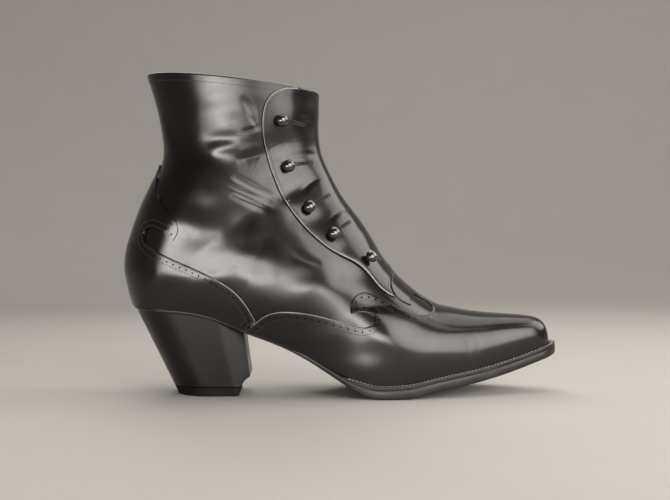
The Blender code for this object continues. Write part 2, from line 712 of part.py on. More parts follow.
def main():
    """Build the boot."""
    clear_scene()
    boot = make_collection("button boot")
    cutters = make_collection("cutters")
    finish = {name: make_material(name) for name in FINISHES}
    build_outsole(boot, finish["sole leather"])
    build_welt(boot, finish["sole leather"])
    build_insole(boot, finish["lining leather"])
    build_heel(boot, cutters, finish["heel leather"], finish["rubber"])
    sole_cutter = build_sole_cutter(cutters)
    build_upper(boot, finish["black leather"], sole_cutter)
    build_overlays(boot, cutters, finish["black leather"], sole_cutter)
    build_buttons(boot, finish["button gloss"])
    smooth_shade([part for part in boot.objects if part.type == "MESH"])


main()
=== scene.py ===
"""Looks of a right-foot button ankle boot in glossy black leather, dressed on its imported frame.

Frame: +X points to the toe, -Y to the outer side of the foot, +Z up, and the floor is z = 0.
Sizes are in millimetres, and MM turns them into Blender's metres.
A place on the upper is a station (0 at the toe, 22 at the collar) and a girth (-1 at the outer sole
edge or back seam, 0 on the crest in front, 1 at the inner sole edge or back seam).
"""

from __future__ import annotations

import json
import logging
from dataclasses import dataclass, field, replace
from enum import Enum
from typing import Any, ClassVar, NamedTuple, Sequence

import bmesh
import bpy
import numpy as np
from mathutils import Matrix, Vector
from mathutils.geometry import delaunay_2d_cdt

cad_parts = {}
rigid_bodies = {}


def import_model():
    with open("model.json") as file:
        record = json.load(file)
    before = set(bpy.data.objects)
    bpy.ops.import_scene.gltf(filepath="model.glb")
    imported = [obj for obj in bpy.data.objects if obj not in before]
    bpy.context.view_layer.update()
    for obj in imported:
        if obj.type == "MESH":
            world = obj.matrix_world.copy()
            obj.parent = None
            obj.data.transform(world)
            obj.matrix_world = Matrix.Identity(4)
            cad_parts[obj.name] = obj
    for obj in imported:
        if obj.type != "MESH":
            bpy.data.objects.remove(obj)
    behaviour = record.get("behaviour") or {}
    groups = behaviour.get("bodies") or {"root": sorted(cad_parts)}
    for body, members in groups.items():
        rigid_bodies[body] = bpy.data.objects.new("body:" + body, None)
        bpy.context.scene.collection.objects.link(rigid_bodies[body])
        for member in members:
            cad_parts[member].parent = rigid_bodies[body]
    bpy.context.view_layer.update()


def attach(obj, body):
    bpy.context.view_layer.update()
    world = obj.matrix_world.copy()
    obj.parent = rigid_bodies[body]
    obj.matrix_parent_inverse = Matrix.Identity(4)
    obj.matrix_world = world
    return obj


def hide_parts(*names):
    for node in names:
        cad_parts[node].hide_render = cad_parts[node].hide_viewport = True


LOG = logging.getLogger("button boot")
Array = np.ndarray
Point = tuple[float, float]
Colour = tuple[float, float, float]
Material = bpy.types.Material
Socket = bpy.types.NodeSocket

MM = 0.001
BODY = "root"

WALL = 2.0
GAP = 0.3
OVERLAY_THICKNESS = 1.3
FLAP_THICKNESS = 1.8
EDGE_STEP = 0.8
# Radius of the lighter edge cords, whose colour is partly raw edge and partly painted highlight
EDGE_HIGHLIGHT_RADIUS = 0.2
# Places along the foot that lie past both ends of the sole
PAST_HEEL = -200.0
PAST_TOE = 200.0
# Axes that show in side view, and what turns a place to the other side of the foot
SIDE_VIEW = (0, 2)
MIRROR = (1, -1)
# Smallest length that is divided by, damping of solved steps, and pairs of points compared at a time
TINY = 1e-12
DAMPING = 1e-6
PAIRS_AT_ONCE = 3_000_000


class Side(Enum):
    """Side of the foot: the sign of its y and of its girth."""

    OUTER = -1
    INNER = 1


class Slot(Enum):
    """Material slots of the record."""

    LEATHER = "black_leather"
    SOLE = "sole_leather"
    HEEL = "heel_leather"
    RUBBER = "rubber"
    LINING = "lining_leather"
    BUTTON = "button_gloss"


# Plan and side view of the sole, and sections of the upper

PLAN_COLUMNS = ("x", "outer", "inner")
PLAN_ROWS = (
    (-142.0, 25.0, 25.0),
    (-112.0, 26.0, 26.0),
    (-88.0, 26.6, 26.2),
    (-60.0, 24.6, 22.6),
    (-35.0, 24.6, 18.4),
    (-12.0, 28.6, 18.4),
    (10.0, 34.4, 25.0),
    (30.0, 36.4, 32.0),
    (50.0, 34.2, 35.6),
    (70.0, 28.8, 33.8),
    (90.0, 22.0, 28.6),
    (110.0, 14.9, 22.0),
    (128.0, 8.8, 15.4),
    (144.0, 3.4, 9.9),
)
SOLE_COLUMNS = ("x", "underside", "thickness", "margin")
SOLE_ROWS = (
    (-142.0, 56.3, 3.2, 0.4),
    (-110.0, 53.2, 3.2, 0.4),
    (-85.0, 49.2, 3.2, 0.5),
    (-62.0, 40.3, 3.0, 0.8),
    (-40.0, 31.8, 2.9, 1.2),
    (-18.0, 20.3, 3.0, 2.2),
    (0.0, 9.0, 3.9, 3.8),
    (14.0, 2.0, 5.0, 4.7),
    (33.0, -0.5, 5.8, 5.0),
    (55.0, 3.4, 5.9, 5.0),
    (87.0, 9.2, 5.6, 5.0),
    (120.0, 17.8, 5.3, 5.0),
    (143.0, 25.4, 5.0, 5.0),
)
SECTION_COLUMNS = (
    "base_x", "base_z", "crest_x", "crest_z", "ridge_y",
    "outer_width", "inner_width", "widest_at", "crown", "flank",
)
SECTIONS = {
    "toe edge": (128.0, 0.0, 137.3, 27.7, 3.3, 12.1, 12.1, 0.06, 2.1, 1.0),
    "toe wall": (125.5, 0.0, 135.4, 38.6, 3.3, 13.2, 13.2, 0.16, 2.7, 1.0),
    "toe crown": (121.0, 0.0, 131.4, 45.4, 3.3, 15.0, 15.0, 0.22, 2.9, 1.0),
    "toe top": (113.0, 0.0, 121.5, 48.0, 3.3, 18.1, 18.1, 0.26, 2.9, 1.0),
    "toe box": (101.0, 0.0, 104.5, 49.2, 3.2, 22.5, 22.5, 0.29, 2.7, 1.0),
    "toe throat": (84.0, 0.0, 84.5, 51.3, 3.0, 28.6, 28.6, 0.31, 2.4, 1.0),
    "ball front": (64.0, 0.0, 62.0, 57.2, 2.6, 35.0, 33.6, 0.33, 2.15, 1.0),
    "ball": (42.0, 0.0, 42.5, 70.3, 2.2, 39.2, 34.6, 0.34, 1.95, 1.0),
    "waist front": (20.0, 0.0, 28.3, 85.2, 1.8, 39.2, 31.6, 0.37, 1.85, 1.0),
    "waist": (-4.0, 0.0, 21.6, 95.5, 1.4, 35.6, 30.0, 0.41, 1.85, 1.0),
    "arch": (-30.0, 0.0, 12.7, 108.6, 1.0, 34.0, 30.8, 0.42, 1.9, 1.0),
    "breast": (-58.0, 0.0, 4.5, 119.2, 0.6, 33.2, 31.6, 0.40, 2.0, 1.05),
    "heel seat": (-88.0, 0.0, -2.8, 129.3, 0.3, 32.2, 32.2, 0.34, 2.1, 1.25),
    "heel turn": (-115.0, 0.0, -8.0, 138.8, 0.0, 31.6, 31.6, 0.265, 2.2, 1.65),
    "heel corner": (-129.5, 0.0, -11.6, 146.0, 0.0, 31.5, 31.5, 0.23, 2.2, 1.95),
    "heel back": (-134.7, 58.0, -13.9, 151.5, 0.0, 31.5, 31.5, 0.225, 2.2, 2.0),
    "counter low": (-137.6, 67.8, -15.6, 157.5, 0.0, 31.4, 31.4, 0.24, 2.2, 2.0),
    "counter bulge": (-139.8, 85.0, -16.8, 165.5, 0.0, 30.9, 30.9, 0.28, 2.2, 2.0),
    "counter high": (-134.2, 108.8, -17.1, 174.3, 0.0, 30.2, 30.2, 0.36, 2.15, 2.0),
    "counter top": (-125.0, 130.9, -17.0, 180.3, 0.0, 30.0, 30.0, 0.42, 2.1, 2.0),
    "ankle": (-117.2, 153.0, -16.9, 185.2, 0.0, 30.3, 30.3, 0.45, 2.05, 2.0),
    "shaft": (-119.2, 179.5, -16.8, 189.8, 0.0, 31.8, 31.8, 0.46, 2.0, 2.0),
    "collar": (-126.8, 205.0, -16.7, 194.2, 0.0, 34.0, 34.0, 0.46, 2.0, 2.0),
}
SECTION_ROWS = np.array(list(SECTIONS.values()))
SEAM_STATION = list(SECTIONS).index("heel back")
COLLAR = len(SECTIONS) - 1


def spline(knots: Array, values: Array, at: Array) -> Array:
    """Natural cubic spline: its bends solve a three-band system, and each piece is a cubic.

    Args:
        knots: Rising places.
        values: Value at each knot, or a row of values.
        at: Places to read.

    Returns:
        The value, or row of values, at each place.
    """
    knots = np.asarray(knots, float)
    values = np.asarray(values, float)
    flat = values.reshape(len(knots), -1)
    step = np.diff(knots)
    matrix = np.diag(2 * (step[:-1] + step[1:]))
    matrix += np.diag(step[1:-1], 1) + np.diag(step[1:-1], -1)
    bend = np.zeros_like(flat)
    bend[1:-1] = np.linalg.solve(matrix, 6 * np.diff(np.diff(flat, axis=0) / step[:, None], axis=0))
    at = np.asarray(at, float)
    left = np.clip(np.searchsorted(knots, at) - 1, 0, len(step) - 1)
    width = step[left][..., None]
    near = (knots[left + 1] - at)[..., None] / width
    far = 1 - near
    straight = near * flat[left] + far * flat[left + 1]
    curl = (near**3 - near) * bend[left] + (far**3 - far) * bend[left + 1]
    return (straight + curl * width**2 / 6).reshape(at.shape + values.shape[1:])


def unit(vectors: Array) -> Array:
    """Vectors along the last axis, made one long."""
    return vectors / np.maximum(np.linalg.norm(vectors, axis=-1, keepdims=True), TINY)


def smoothstep(low: float, high: float, value: Array) -> Array:
    """Soft rise from 0 at low to 1 at high: three squares less two cubes."""
    share = np.clip((value - low) / (high - low), 0, 1)
    return share * share * (3 - 2 * share)


def lengths_along(points: Array) -> Array:
    """Distance along a line of points, from its start to each point."""
    steps = np.linalg.norm(np.diff(points, axis=0), axis=1)
    return np.concatenate(((0.0,), np.cumsum(steps)))


def between(along: Array, line: Array, at: Array) -> Array:
    """Points of a line at distances along it, read straight between its corners."""
    return np.stack([np.interp(at, along, column) for column in line.T], axis=1)


def swung(turn: Array, first: Array, second: Array) -> Array:
    """Rows of directions turned from first to second: each angle's cosine of one, its sine of the other."""
    return np.cos(turn)[:, None] * first[..., None, :] + np.sin(turn)[:, None] * second[..., None, :]


def places_at(station: Array | float, girth: Array | float) -> Array:
    """Places (station, girth), where a single value or a grid's side is spread over the other."""
    return np.stack(np.broadcast_arrays(station, girth), axis=-1)


def closest(points: Array, line: Array) -> tuple[Array, Array]:
    """Closest corner of a line to each point: the least square of the distance, found in blocks.

    Args:
        points: Points, a row each.
        line: Close-set corners of the line.

    Returns:
        Number of the corner and its distance, for each point.
    """
    number = np.empty(len(points), int)
    square = np.empty(len(points))
    block = max(1, PAIRS_AT_ONCE // len(line))
    for start in range(0, len(points), block):
        here = slice(start, start + block)
        spread = ((points[here, None, :] - line[None, :, :]) ** 2).sum(axis=2)
        number[here] = spread.argmin(axis=1)
        square[here] = spread.min(axis=1)
    return number, np.sqrt(square)


def inside(points: Array, loop: Array) -> Array:
    """Whether points lie in a closed loop: the count of crossed sides is odd.

    Args:
        points: Flat points, a row each.
        loop: Corners of the loop in order.

    Returns:
        True for each point in the loop.
    """
    ahead = np.roll(loop, -1, axis=0)
    rise = np.where(ahead[:, 1] == loop[:, 1], TINY, ahead[:, 1] - loop[:, 1])
    found = np.empty(len(points), bool)
    block = max(1, PAIRS_AT_ONCE // len(loop))
    for start in range(0, len(points), block):
        u, v = points[start:start + block].T
        level = (loop[None, :, 1] > v[:, None]) != (ahead[None, :, 1] > v[:, None])
        cross = loop[:, 0] + (v[:, None] - loop[:, 1]) * (ahead[:, 0] - loop[:, 0]) / rise
        found[start:start + block] = (level & (u[:, None] < cross)).sum(axis=1) % 2 == 1
    return found


def grid_faces(rows: int, columns: int, closed: bool = False) -> Array:
    """Four-cornered faces of a grid of points.

    Args:
        rows: Rows of points.
        columns: Points in a row.
        closed: Whether the last column joins the first.

    Returns:
        Corner numbers, a row for each face.
    """
    row = np.arange(rows - 1)[:, None]
    column = np.arange(columns if closed else columns - 1)[None, :]
    ahead = (column + 1) % columns
    corners = (row * columns + column, row * columns + ahead,
               (row + 1) * columns + ahead, (row + 1) * columns + column)
    return np.stack([corner.ravel() for corner in corners], axis=1)


def ring_sides(rings: Array) -> Array:
    """Sides of closed rings, given their corner numbers, a row for each ring."""
    return np.stack((rings, np.roll(rings, -1, axis=1)), axis=2).reshape(-1, 2)


def repeated(faces: Array, count: int, points: int) -> Array:
    """Faces of a shape that is there count times, each time on the next so many points."""
    return (faces[None] + points * np.arange(count)[:, None, None]).reshape(-1, faces.shape[1])


def joined(parts: Sequence[tuple[Array, Array]]) -> tuple[Array, Array]:
    """Several meshes as one: each part's corner numbers go on from the part before.

    Args:
        parts: Points and faces of each part.

    Returns:
        Points and faces.
    """
    starts = np.cumsum([0, *(len(points) for points, _ in parts)])
    faces = [corners + start for (_, corners), start in zip(parts, starts)]
    return np.concatenate([points for points, _ in parts]), np.concatenate(faces)


def add_piece(name: str, points: Array, faces: Array | list, material: Material,
              slot: Slot, replaces: Sequence[str] = (), crease: float = 50.0,
              weld: float = 0.0) -> None:
    """Make a smooth-shaded piece that rides on the boot.

    Args:
        name: Name of the piece.
        points: Points in millimetres.
        faces: Corner numbers of each face.
        material: Finish of the piece.
        slot: Slot of the record that the finish belongs to; not used.
        replaces: Solids that the piece stands for.
        crease: Angle in degrees past which an edge stays sharp.
        weld: Distance in millimetres within which points are made one.
    """
    mesh = bpy.data.meshes.new(name)
    corners = faces.tolist() if isinstance(faces, Array) else faces
    mesh.from_pydata((np.asarray(points, float).reshape(-1, 3) * MM).tolist(), [], corners)
    if weld:
        shaped = bmesh.new()
        shaped.from_mesh(mesh)
        bmesh.ops.remove_doubles(shaped, verts=shaped.verts, dist=weld * MM)
        shaped.to_mesh(mesh)
        shaped.free()
    mesh.polygons.foreach_set("use_smooth", np.ones(len(mesh.polygons), bool))
    mesh.update()
    mesh.set_sharp_from_angle(angle=np.radians(crease))
    mesh.materials.append(material)
    piece = bpy.data.objects.new(name, mesh)
    bpy.context.scene.collection.objects.link(piece)
    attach(piece, BODY)
    if replaces:
        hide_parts(*replaces)
    LOG.info("%s: %d faces", name, len(mesh.polygons))


# Forms that the pieces are read from


@dataclass(frozen=True)
class SoleForm:
    """Plan and side view of the sole, with a rounded toe and heel end."""

    toe_tip: float = 137.3
    toe_round_from: float = 128.0
    toe_round_power: float = 3.0
    toe_middle: float = 3.3
    heel_end: float = -134.7
    heel_round_from: float = -112.0
    roll: float = 0.5
    roll_sink: float = 0.125
    end_steps: int = 28
    step: float = 1.5

    def value(self, name: str, x: Array) -> Array:
        """Column of the side view at x."""
        rows = np.array(SOLE_ROWS)
        return spline(rows[:, 0], rows[:, SOLE_COLUMNS.index(name)], x)

    def underside(self, x: Array) -> Array:
        """Height of the underside, which rolls softly off the floor in front of the ball and behind it."""
        level = self.value("underside", x)
        return (level + np.sqrt(level**2 + self.roll**2)) / 2 - self.roll * self.roll_sink

    def top(self, x: Array) -> Array:
        """Height of the upper face."""
        return self.underside(x) + self.value("thickness", x)

    def edge(self, x: Array, side: Side, grow: Array | float = 0.0) -> Array:
        """Plan outline moved out by grow: the toe closes by a superellipse and the heel by a circle.

        Args:
            x: Places along the foot.
            side: Side of the foot.
            grow: Distance outside the feather line.

        Returns:
            y of the outline.
        """
        rows = np.array(PLAN_ROWS)
        name = "inner" if side is Side.INNER else "outer"
        edge = side.value * (spline(rows[:, 0], rows[:, PLAN_COLUMNS.index(name)], x) + grow)
        toe = np.clip((x - self.toe_round_from) / (self.toe_tip + grow - self.toe_round_from), 0, 1)
        heel = np.clip((self.heel_round_from - x) / (self.heel_round_from - self.heel_end + grow), 0, 1)
        toe_share = (1 - toe**self.toe_round_power) ** (1 / self.toe_round_power)
        return (self.toe_middle + (edge - self.toe_middle) * toe_share) * np.sqrt(1 - heel**2)

    def stretch(self, grow: float, start: float, end: float, side: Side) -> Array:
        """Plan points along one side from start towards the toe tip, turning evenly at the round ends.

        Args:
            grow: Distance outside the feather line.
            start: First place, or the heel end where it is below the heel's round.
            end: Last place, or the toe tip where it is past the toe's round.
            side: Side of the foot.

        Returns:
            Points (x, y) in order from heel to toe.
        """
        turn = np.sin(np.linspace(0, np.pi / 2, self.end_steps))
        parts = []
        if start < self.heel_round_from:
            parts.append(self.heel_round_from - turn[:0:-1] * (self.heel_round_from - self.heel_end + grow))
        low = max(start, self.heel_round_from)
        high = min(end, self.toe_round_from)
        parts.append(np.linspace(low, high, max(2, int((high - low) / self.step))))
        if end > self.toe_round_from:
            parts.append(self.toe_round_from + turn[1:] * (self.toe_tip + grow - self.toe_round_from))
        x = np.concatenate(parts)
        return np.stack((x, self.edge(x, side, grow)), axis=1)

    def outline(self, grow: float) -> Array:
        """Closed plan outline: the outer side from heel to toe, then the inner side back."""
        outer = self.stretch(grow, PAST_HEEL, PAST_TOE, Side.OUTER)
        inner = self.stretch(grow, PAST_HEEL, PAST_TOE, Side.INNER)
        return np.concatenate((outer, inner[-2:0:-1]))


@dataclass
class UpperForm:
    """Lasted shape of the upper, worked out once as a dense table and read by smooth cubics.

    A section runs in the plane of its chord from base to crest. Below the widest place the width swells
    from the feather line with the square of a sine, and above it closes along a superellipse.
    """

    sole: SoleForm
    below_bed: float = 0.9
    seam_fade: float = 3.0
    heel_fullness: float = 330.0
    heel_full_span: float = 2.0
    samples: int = 500
    station_step: float = 0.05
    half_columns: int = 110
    crest_gap: float = 0.002
    newton_steps: int = 15
    longest_step: tuple[float, float] = (0.3, 0.04)
    table: Array = field(init=False)

    def __post_init__(self) -> None:
        """Fill the table of points."""
        stations = np.arange(0, COLLAR + self.station_step / 2, self.station_step)
        outer, inner = (self.half_rows(stations, side) for side in Side)
        self.table = np.concatenate((outer, inner[:, -2::-1]), axis=1)

    def column(self, name: str, stations: Array) -> Array:
        """Column of the section table at the given stations."""
        values = SECTION_ROWS[:, SECTION_COLUMNS.index(name)]
        return spline(np.arange(COLLAR + 1), values, stations)

    def base(self, stations: Array) -> tuple[Array, Array]:
        """Base of each section: in the sole as far as the heel, and on the back seam above it.

        Args:
            stations: Stations of the sections.

        Returns:
            x and z of the bases.
        """
        x = self.column("base_x", stations)
        back = SECTION_ROWS[SEAM_STATION:, SECTION_COLUMNS.index("base_z")]
        seam = spline(np.arange(SEAM_STATION, COLLAR + 1), back, np.maximum(stations, SEAM_STATION))
        return x, np.where(stations < SEAM_STATION, self.sole.top(x) - self.below_bed, seam)

    def half_rows(self, stations: Array, side: Side) -> Array:
        """Half sections from base to crest, with points spaced evenly along the drawn-in width.

        Args:
            stations: Stations of the rows.
            side: Side of the foot.

        Returns:
            Points, a row for each station.
        """
        base_x, base_z = self.base(stations)
        chord = np.stack((self.column("crest_x", stations) - base_x,
                          self.column("crest_z", stations) - base_z), axis=1)
        ridge = self.column("ridge_y", stations)
        plan = self.sole.edge(np.maximum(base_x, self.sole.heel_end), side)
        feather = np.maximum(side.value * (plan - ridge), 0.0)
        feather = np.where(stations < SEAM_STATION, feather, 0.0)[:, None]
        drawn = feather * np.clip((SEAM_STATION - stations) / self.seam_fade, 0, 1)[:, None]
        widest = self.column("inner_width" if side is Side.INNER else "outer_width", stations)[:, None]
        place = self.column("widest_at", stations)[:, None]
        crown = 2 / self.column("crown", stations)[:, None]
        flank = self.column("flank", stations)[:, None]
        turn = np.linspace(0, np.pi / 2, self.samples)[None, :]
        rise = np.clip((stations - SEAM_STATION) / self.heel_full_span, 0, 1)[:, None]
        full = self.heel_fullness * self.heel_full_span * rise * (1 - rise) ** 2
        high_share = place + (1 - place) * np.sin(turn) ** crown
        share = np.concatenate((place * (1 - np.cos(turn)), high_share[:, 1:]), axis=1)
        high = (widest * np.clip(np.cos(turn), 0, 1) ** crown)[:, 1:]
        widths = []
        for edge in (feather, drawn):
            swell = (edge**flank + (widest**flank - edge**flank) * np.sin(turn) ** 2) ** (1 / flank)
            low = np.sqrt(swell**2 + full * np.cos(turn) * (1 - np.cos(turn)))
            widths.append(np.concatenate((low, high), axis=1))
        reach = np.linalg.norm(chord, axis=1)
        run = np.hypot(np.diff(share, axis=1) * reach[:, None], np.diff(widths[1], axis=1))
        along = np.concatenate((np.zeros((len(stations), 1)), np.cumsum(run, axis=1)), axis=1)
        even = np.linspace(0, 1, self.half_columns + 1)
        here = np.stack([np.interp(even * row[-1], row, line) for row, line in zip(along, share)])
        wide = np.stack([np.interp(even * row[-1], row, line) for row, line in zip(along, widths[0])])
        return np.stack((base_x[:, None] + here * chord[:, :1], ridge[:, None] + side.value * wide,
                         base_z[:, None] + here * chord[:, 1:]), axis=2)

    def taps(self, place: Array, count: int) -> tuple[Array, Array, Array]:
        """Four neighbours of a place in the table, with their cubic weights and slopes.

        Args:
            place: Places counted in table steps.
            count: Length of the table's side.

        Returns:
            Numbers of the neighbours, weights of the value, weights of the slope.
        """
        low = np.clip(np.floor(place).astype(int), 0, count - 2)
        t = (place - low)[..., None]
        weight = np.concatenate((-t + 2 * t**2 - t**3, 2 - 5 * t**2 + 3 * t**3,
                                 t + 4 * t**2 - 3 * t**3, -(t**2) + t**3), axis=-1) / 2
        slope = np.concatenate((-1 + 4 * t - 3 * t**2, -10 * t + 9 * t**2,
                                1 + 8 * t - 9 * t**2, -2 * t + 3 * t**2), axis=-1) / 2
        return np.clip(low[..., None] + np.arange(-1, 3), 0, count - 1), weight, slope

    def read(self, places: Array) -> tuple[Array, Array, Array]:
        """Points of the outer face, with their slopes by station and by girth: the table's cubic weights.

        Args:
            places: Places (station, girth).

        Returns:
            Points, slopes along the stations, slopes along the girths.
        """
        rows, columns = self.table.shape[:2]
        row, row_weight, row_slope = self.taps(places[..., 0] / self.station_step, rows)
        column, column_weight, column_slope = self.taps((places[..., 1] + 1) * self.half_columns, columns)
        near = self.table[row[..., :, None], column[..., None, :]]
        mix = "...i,...j,...ijk->...k"
        point = np.einsum(mix, row_weight, column_weight, near)
        by_station = np.einsum(mix, row_slope, column_weight, near) / self.station_step
        by_girth = np.einsum(mix, row_weight, column_slope, near) * self.half_columns
        return point, by_station, by_girth

    def at(self, places: Array) -> Array:
        """Points of the outer face without its creases."""
        return self.read(places)[0]

    def normal(self, places: Array) -> Array:
        """Outward normals of the outer face."""
        _, by_station, by_girth = self.read(places)
        return unit(np.cross(by_girth, by_station))

    def lift(self, places: Array, height: Array | float = 0.0) -> Array:
        """Points at a height over the outer face, with the leather's creases.

        Args:
            places: Places (station, girth).
            height: Height over the face in millimetres.

        Returns:
            Points.
        """
        point, by_station, by_girth = self.read(places)
        rise = height + CREASES.height(point, places[..., 1])
        return point + unit(np.cross(by_girth, by_station)) * rise[..., None]

    def locate(self, spots: Sequence[Point], side: Side = Side.OUTER) -> Array:
        """Places on the upper that show at side-view spots, by Newton steps from the nearest table point.

        Args:
            spots: Spots (x, z) in side view.
            side: Side that is looked at.

        Returns:
            Stations and girths, a row for each spot.
        """
        spots = np.asarray(spots, float)
        outer = side is Side.OUTER
        first = 0 if outer else self.half_columns
        half = self.table[:, first:first + self.half_columns + 1, SIDE_VIEW]
        row, column = np.divmod(closest(spots, half.reshape(-1, 2))[0], half.shape[1])
        place = places_at(row * self.station_step, (column + first) / self.half_columns - 1.0)
        low, high = (-1.0, -self.crest_gap) if outer else (self.crest_gap, 1.0)
        longest = np.array(self.longest_step)
        for _ in range(self.newton_steps):
            point, by_station, by_girth = self.read(place)
            slope = np.stack((by_station[:, SIDE_VIEW], by_girth[:, SIDE_VIEW]), axis=2)
            miss = spots - point[:, SIDE_VIEW]
            step = np.linalg.solve(slope + DAMPING * np.eye(2), miss[:, :, None])[:, :, 0]
            place = np.clip(place + np.clip(step, -longest, longest), (0.0, low), (COLLAR, high))
        return place


@dataclass(frozen=True)
class Crease:
    """One soft trough or ridge: a line in side view with a depth and a half width."""

    line: tuple[Point, ...]
    depth: float
    width: float
    inner_share: float = 0.6


@dataclass(frozen=True)
class CreaseSet:
    """The leather's main creases, placed in the boot's own sizes, over a slight waviness."""

    creases: tuple[Crease, ...]
    seed: int = 11
    waves: int = 16
    shortest: float = 13.0
    longest: float = 38.0
    wave_height: float = 0.0011
    girth_shift: float = 2.1
    calm_share: float = 0.7
    calm_from: float = 20.0
    calm_to: float = 80.0
    line_step: float = 0.7
    fewest_steps: int = 6
    reach: float = 3.2
    fade_power: float = 0.7

    def waviness(self, points: Array, girth: Array) -> Array:
        """Slight uneven swell of worn leather: a sum of sines of mixed directions, calmer at the toe.

        Args:
            points: Points of the outer face.
            girth: Girths of the points.

        Returns:
            Heights.
        """
        chance = np.random.default_rng(self.seed)
        length = chance.uniform(self.shortest, self.longest, self.waves)
        angle = chance.uniform(0, np.pi, self.waves)
        phase = chance.uniform(0, 2 * np.pi, self.waves)
        x, z = points[..., 0, None], points[..., 2, None]
        run = (x * np.cos(angle) + z * np.sin(angle)) / length
        wave = np.sin(2 * np.pi * run + phase + self.girth_shift * girth[..., None])
        swell = (self.wave_height * length * wave).sum(axis=-1)
        return swell * (1 - self.calm_share * smoothstep(self.calm_from, self.calm_to, points[..., 0]))

    def line(self, crease: Crease) -> Array:
        """Close-set spots of a crease: a spline through its knots, or straight between two.

        Args:
            crease: The crease.

        Returns:
            Spots (x, z) in side view.
        """
        knots = np.asarray(crease.line, float)
        along = lengths_along(knots)
        place = np.linspace(0, along[-1], max(self.fewest_steps, int(along[-1] / self.line_step)))
        return spline(along, knots, place) if len(knots) > 2 else between(along, knots, place)

    def height(self, points: Array, girth: Array) -> Array:
        """Height that the creases add: each falls off from its line as a bell, and fades at its ends.

        Args:
            points: Points of the outer face.
            girth: Girths of the points.

        Returns:
            Heights, below 0 in a trough.
        """
        total = self.waviness(points, girth)
        flat = points[..., SIDE_VIEW].reshape(-1, 2)
        for crease in self.creases:
            line = self.line(crease)
            reach = self.reach * crease.width
            boxed = (flat > line.min(axis=0) - reach) & (flat < line.max(axis=0) + reach)
            near = np.flatnonzero(boxed.all(axis=1))
            number, distance = closest(flat[near], line)
            fade = np.sin(np.pi * (number + 0.5) / len(line)) ** self.fade_power
            bell = np.exp(-(distance**2) / (2 * crease.width**2))
            side = np.where(girth.ravel()[near] < 0, 1.0, crease.inner_share)
            total.reshape(-1)[near] += crease.depth * bell * fade * side
        return total


CREASES = CreaseSet((
    # Hollow round the ankle, the shoulder below it and the swell over the waist
    Crease(((-124.0, 146.0), (-100.0, 150.0), (-75.0, 150.0), (-40.0, 143.0)), -1.8, 12.0),
    Crease(((-128.0, 112.0), (-104.0, 109.0), (-80.0, 103.0), (-55.0, 89.0)), 0.95, 8.0),
    Crease(((-62.0, 68.0), (-44.0, 60.0), (-26.0, 52.0)), 0.5, 7.0),
    # Shaft beside the flap's edge
    Crease(((-64.0, 189.0), (-57.5, 180.0), (-54.0, 171.0)), -0.35, 1.8),
    Crease(((-59.5, 177.0), (-52.5, 168.5)), -0.25, 1.0),
    Crease(((-63.0, 167.0), (-57.0, 168.5), (-52.5, 171.0)), -0.25, 1.0),
    Crease(((-67.0, 149.0), (-58.5, 151.0), (-49.5, 154.5)), -0.45, 2.0),
    Crease(((-66.0, 154.0), (-57.0, 156.5), (-50.5, 159.0)), 0.3, 2.2),
    Crease(((-88.0, 160.5), (-77.0, 162.5), (-65.0, 163.0)), -0.35, 2.6),
    Crease(((-86.0, 155.0), (-76.0, 156.5), (-66.0, 157.0)), 0.25, 2.4),
    # Ankle folds that run under the flap
    Crease(((-70.0, 139.0), (-55.0, 131.0), (-40.0, 125.0)), -0.5, 1.7),
    Crease(((-72.0, 134.0), (-60.0, 128.5), (-44.0, 122.5)), -0.4, 1.4),
    Crease(((-72.0, 128.0), (-60.0, 123.0), (-46.0, 116.5)), -0.4, 1.6),
    Crease(((-71.0, 136.5), (-58.0, 130.0), (-42.0, 123.8)), 0.3, 1.3),
    Crease(((-71.0, 131.0), (-60.0, 126.0), (-45.0, 119.5)), 0.3, 1.3),
    Crease(((-32.0, 91.5), (-24.0, 87.5), (-14.0, 84.0)), -0.3, 1.6),
    # Soft standing fold at the back of the shaft
    Crease(((-118.0, 182.0), (-112.0, 164.0), (-105.5, 148.0)), 0.55, 2.4),
    Crease(((-112.0, 180.0), (-106.5, 163.0), (-100.5, 148.0)), -0.35, 2.6),
    # Toe: ridge between top and side, small upright wrinkles below it
    Crease(((60.0, 40.0), (80.0, 42.0), (100.0, 44.2), (120.0, 45.6)), 0.25, 2.4),
    Crease(((78.0, 37.0), (79.4, 31.0), (79.8, 25.0)), -0.16, 1.5),
    Crease(((84.6, 37.5), (85.6, 31.5), (85.8, 26.0)), -0.14, 1.5),
    # Tab at the back
    Crease(((-127.0, 117.5), (-117.0, 115.0), (-107.0, 109.0)), -0.25, 0.8),
    Crease(((-127.5, 114.0), (-118.0, 112.0), (-108.0, 106.0)), -0.25, 0.8),
    # Flap: pulled in between the buttons and folded beside their holes
    Crease(((-48.0, 160.5), (-38.0, 160.0), (-24.0, 161.0)), -0.6, 6.0),
    Crease(((-44.0, 134.5), (-30.0, 134.0), (-16.0, 138.0)), -0.6, 5.0),
    Crease(((-28.0, 110.0), (-14.0, 112.0), (-3.0, 118.5)), -0.5, 4.5),
    Crease(((-4.0, 94.0), (6.0, 97.0), (14.0, 101.0)), -0.5, 4.0),
    Crease(((-26.0, 129.0), (-20.5, 135.5), (-12.5, 140.0)), -0.4, 1.3),
    Crease(((-35.0, 152.0), (-24.5, 153.8), (-15.0, 153.0)), -0.35, 1.5),
    Crease(((-30.0, 179.0), (-25.0, 177.0), (-20.0, 178.0)), -0.3, 1.4),
    Crease(((-10.0, 110.0), (-4.0, 116.0), (2.0, 119.0)), -0.3, 1.2),
))


# Shader maths


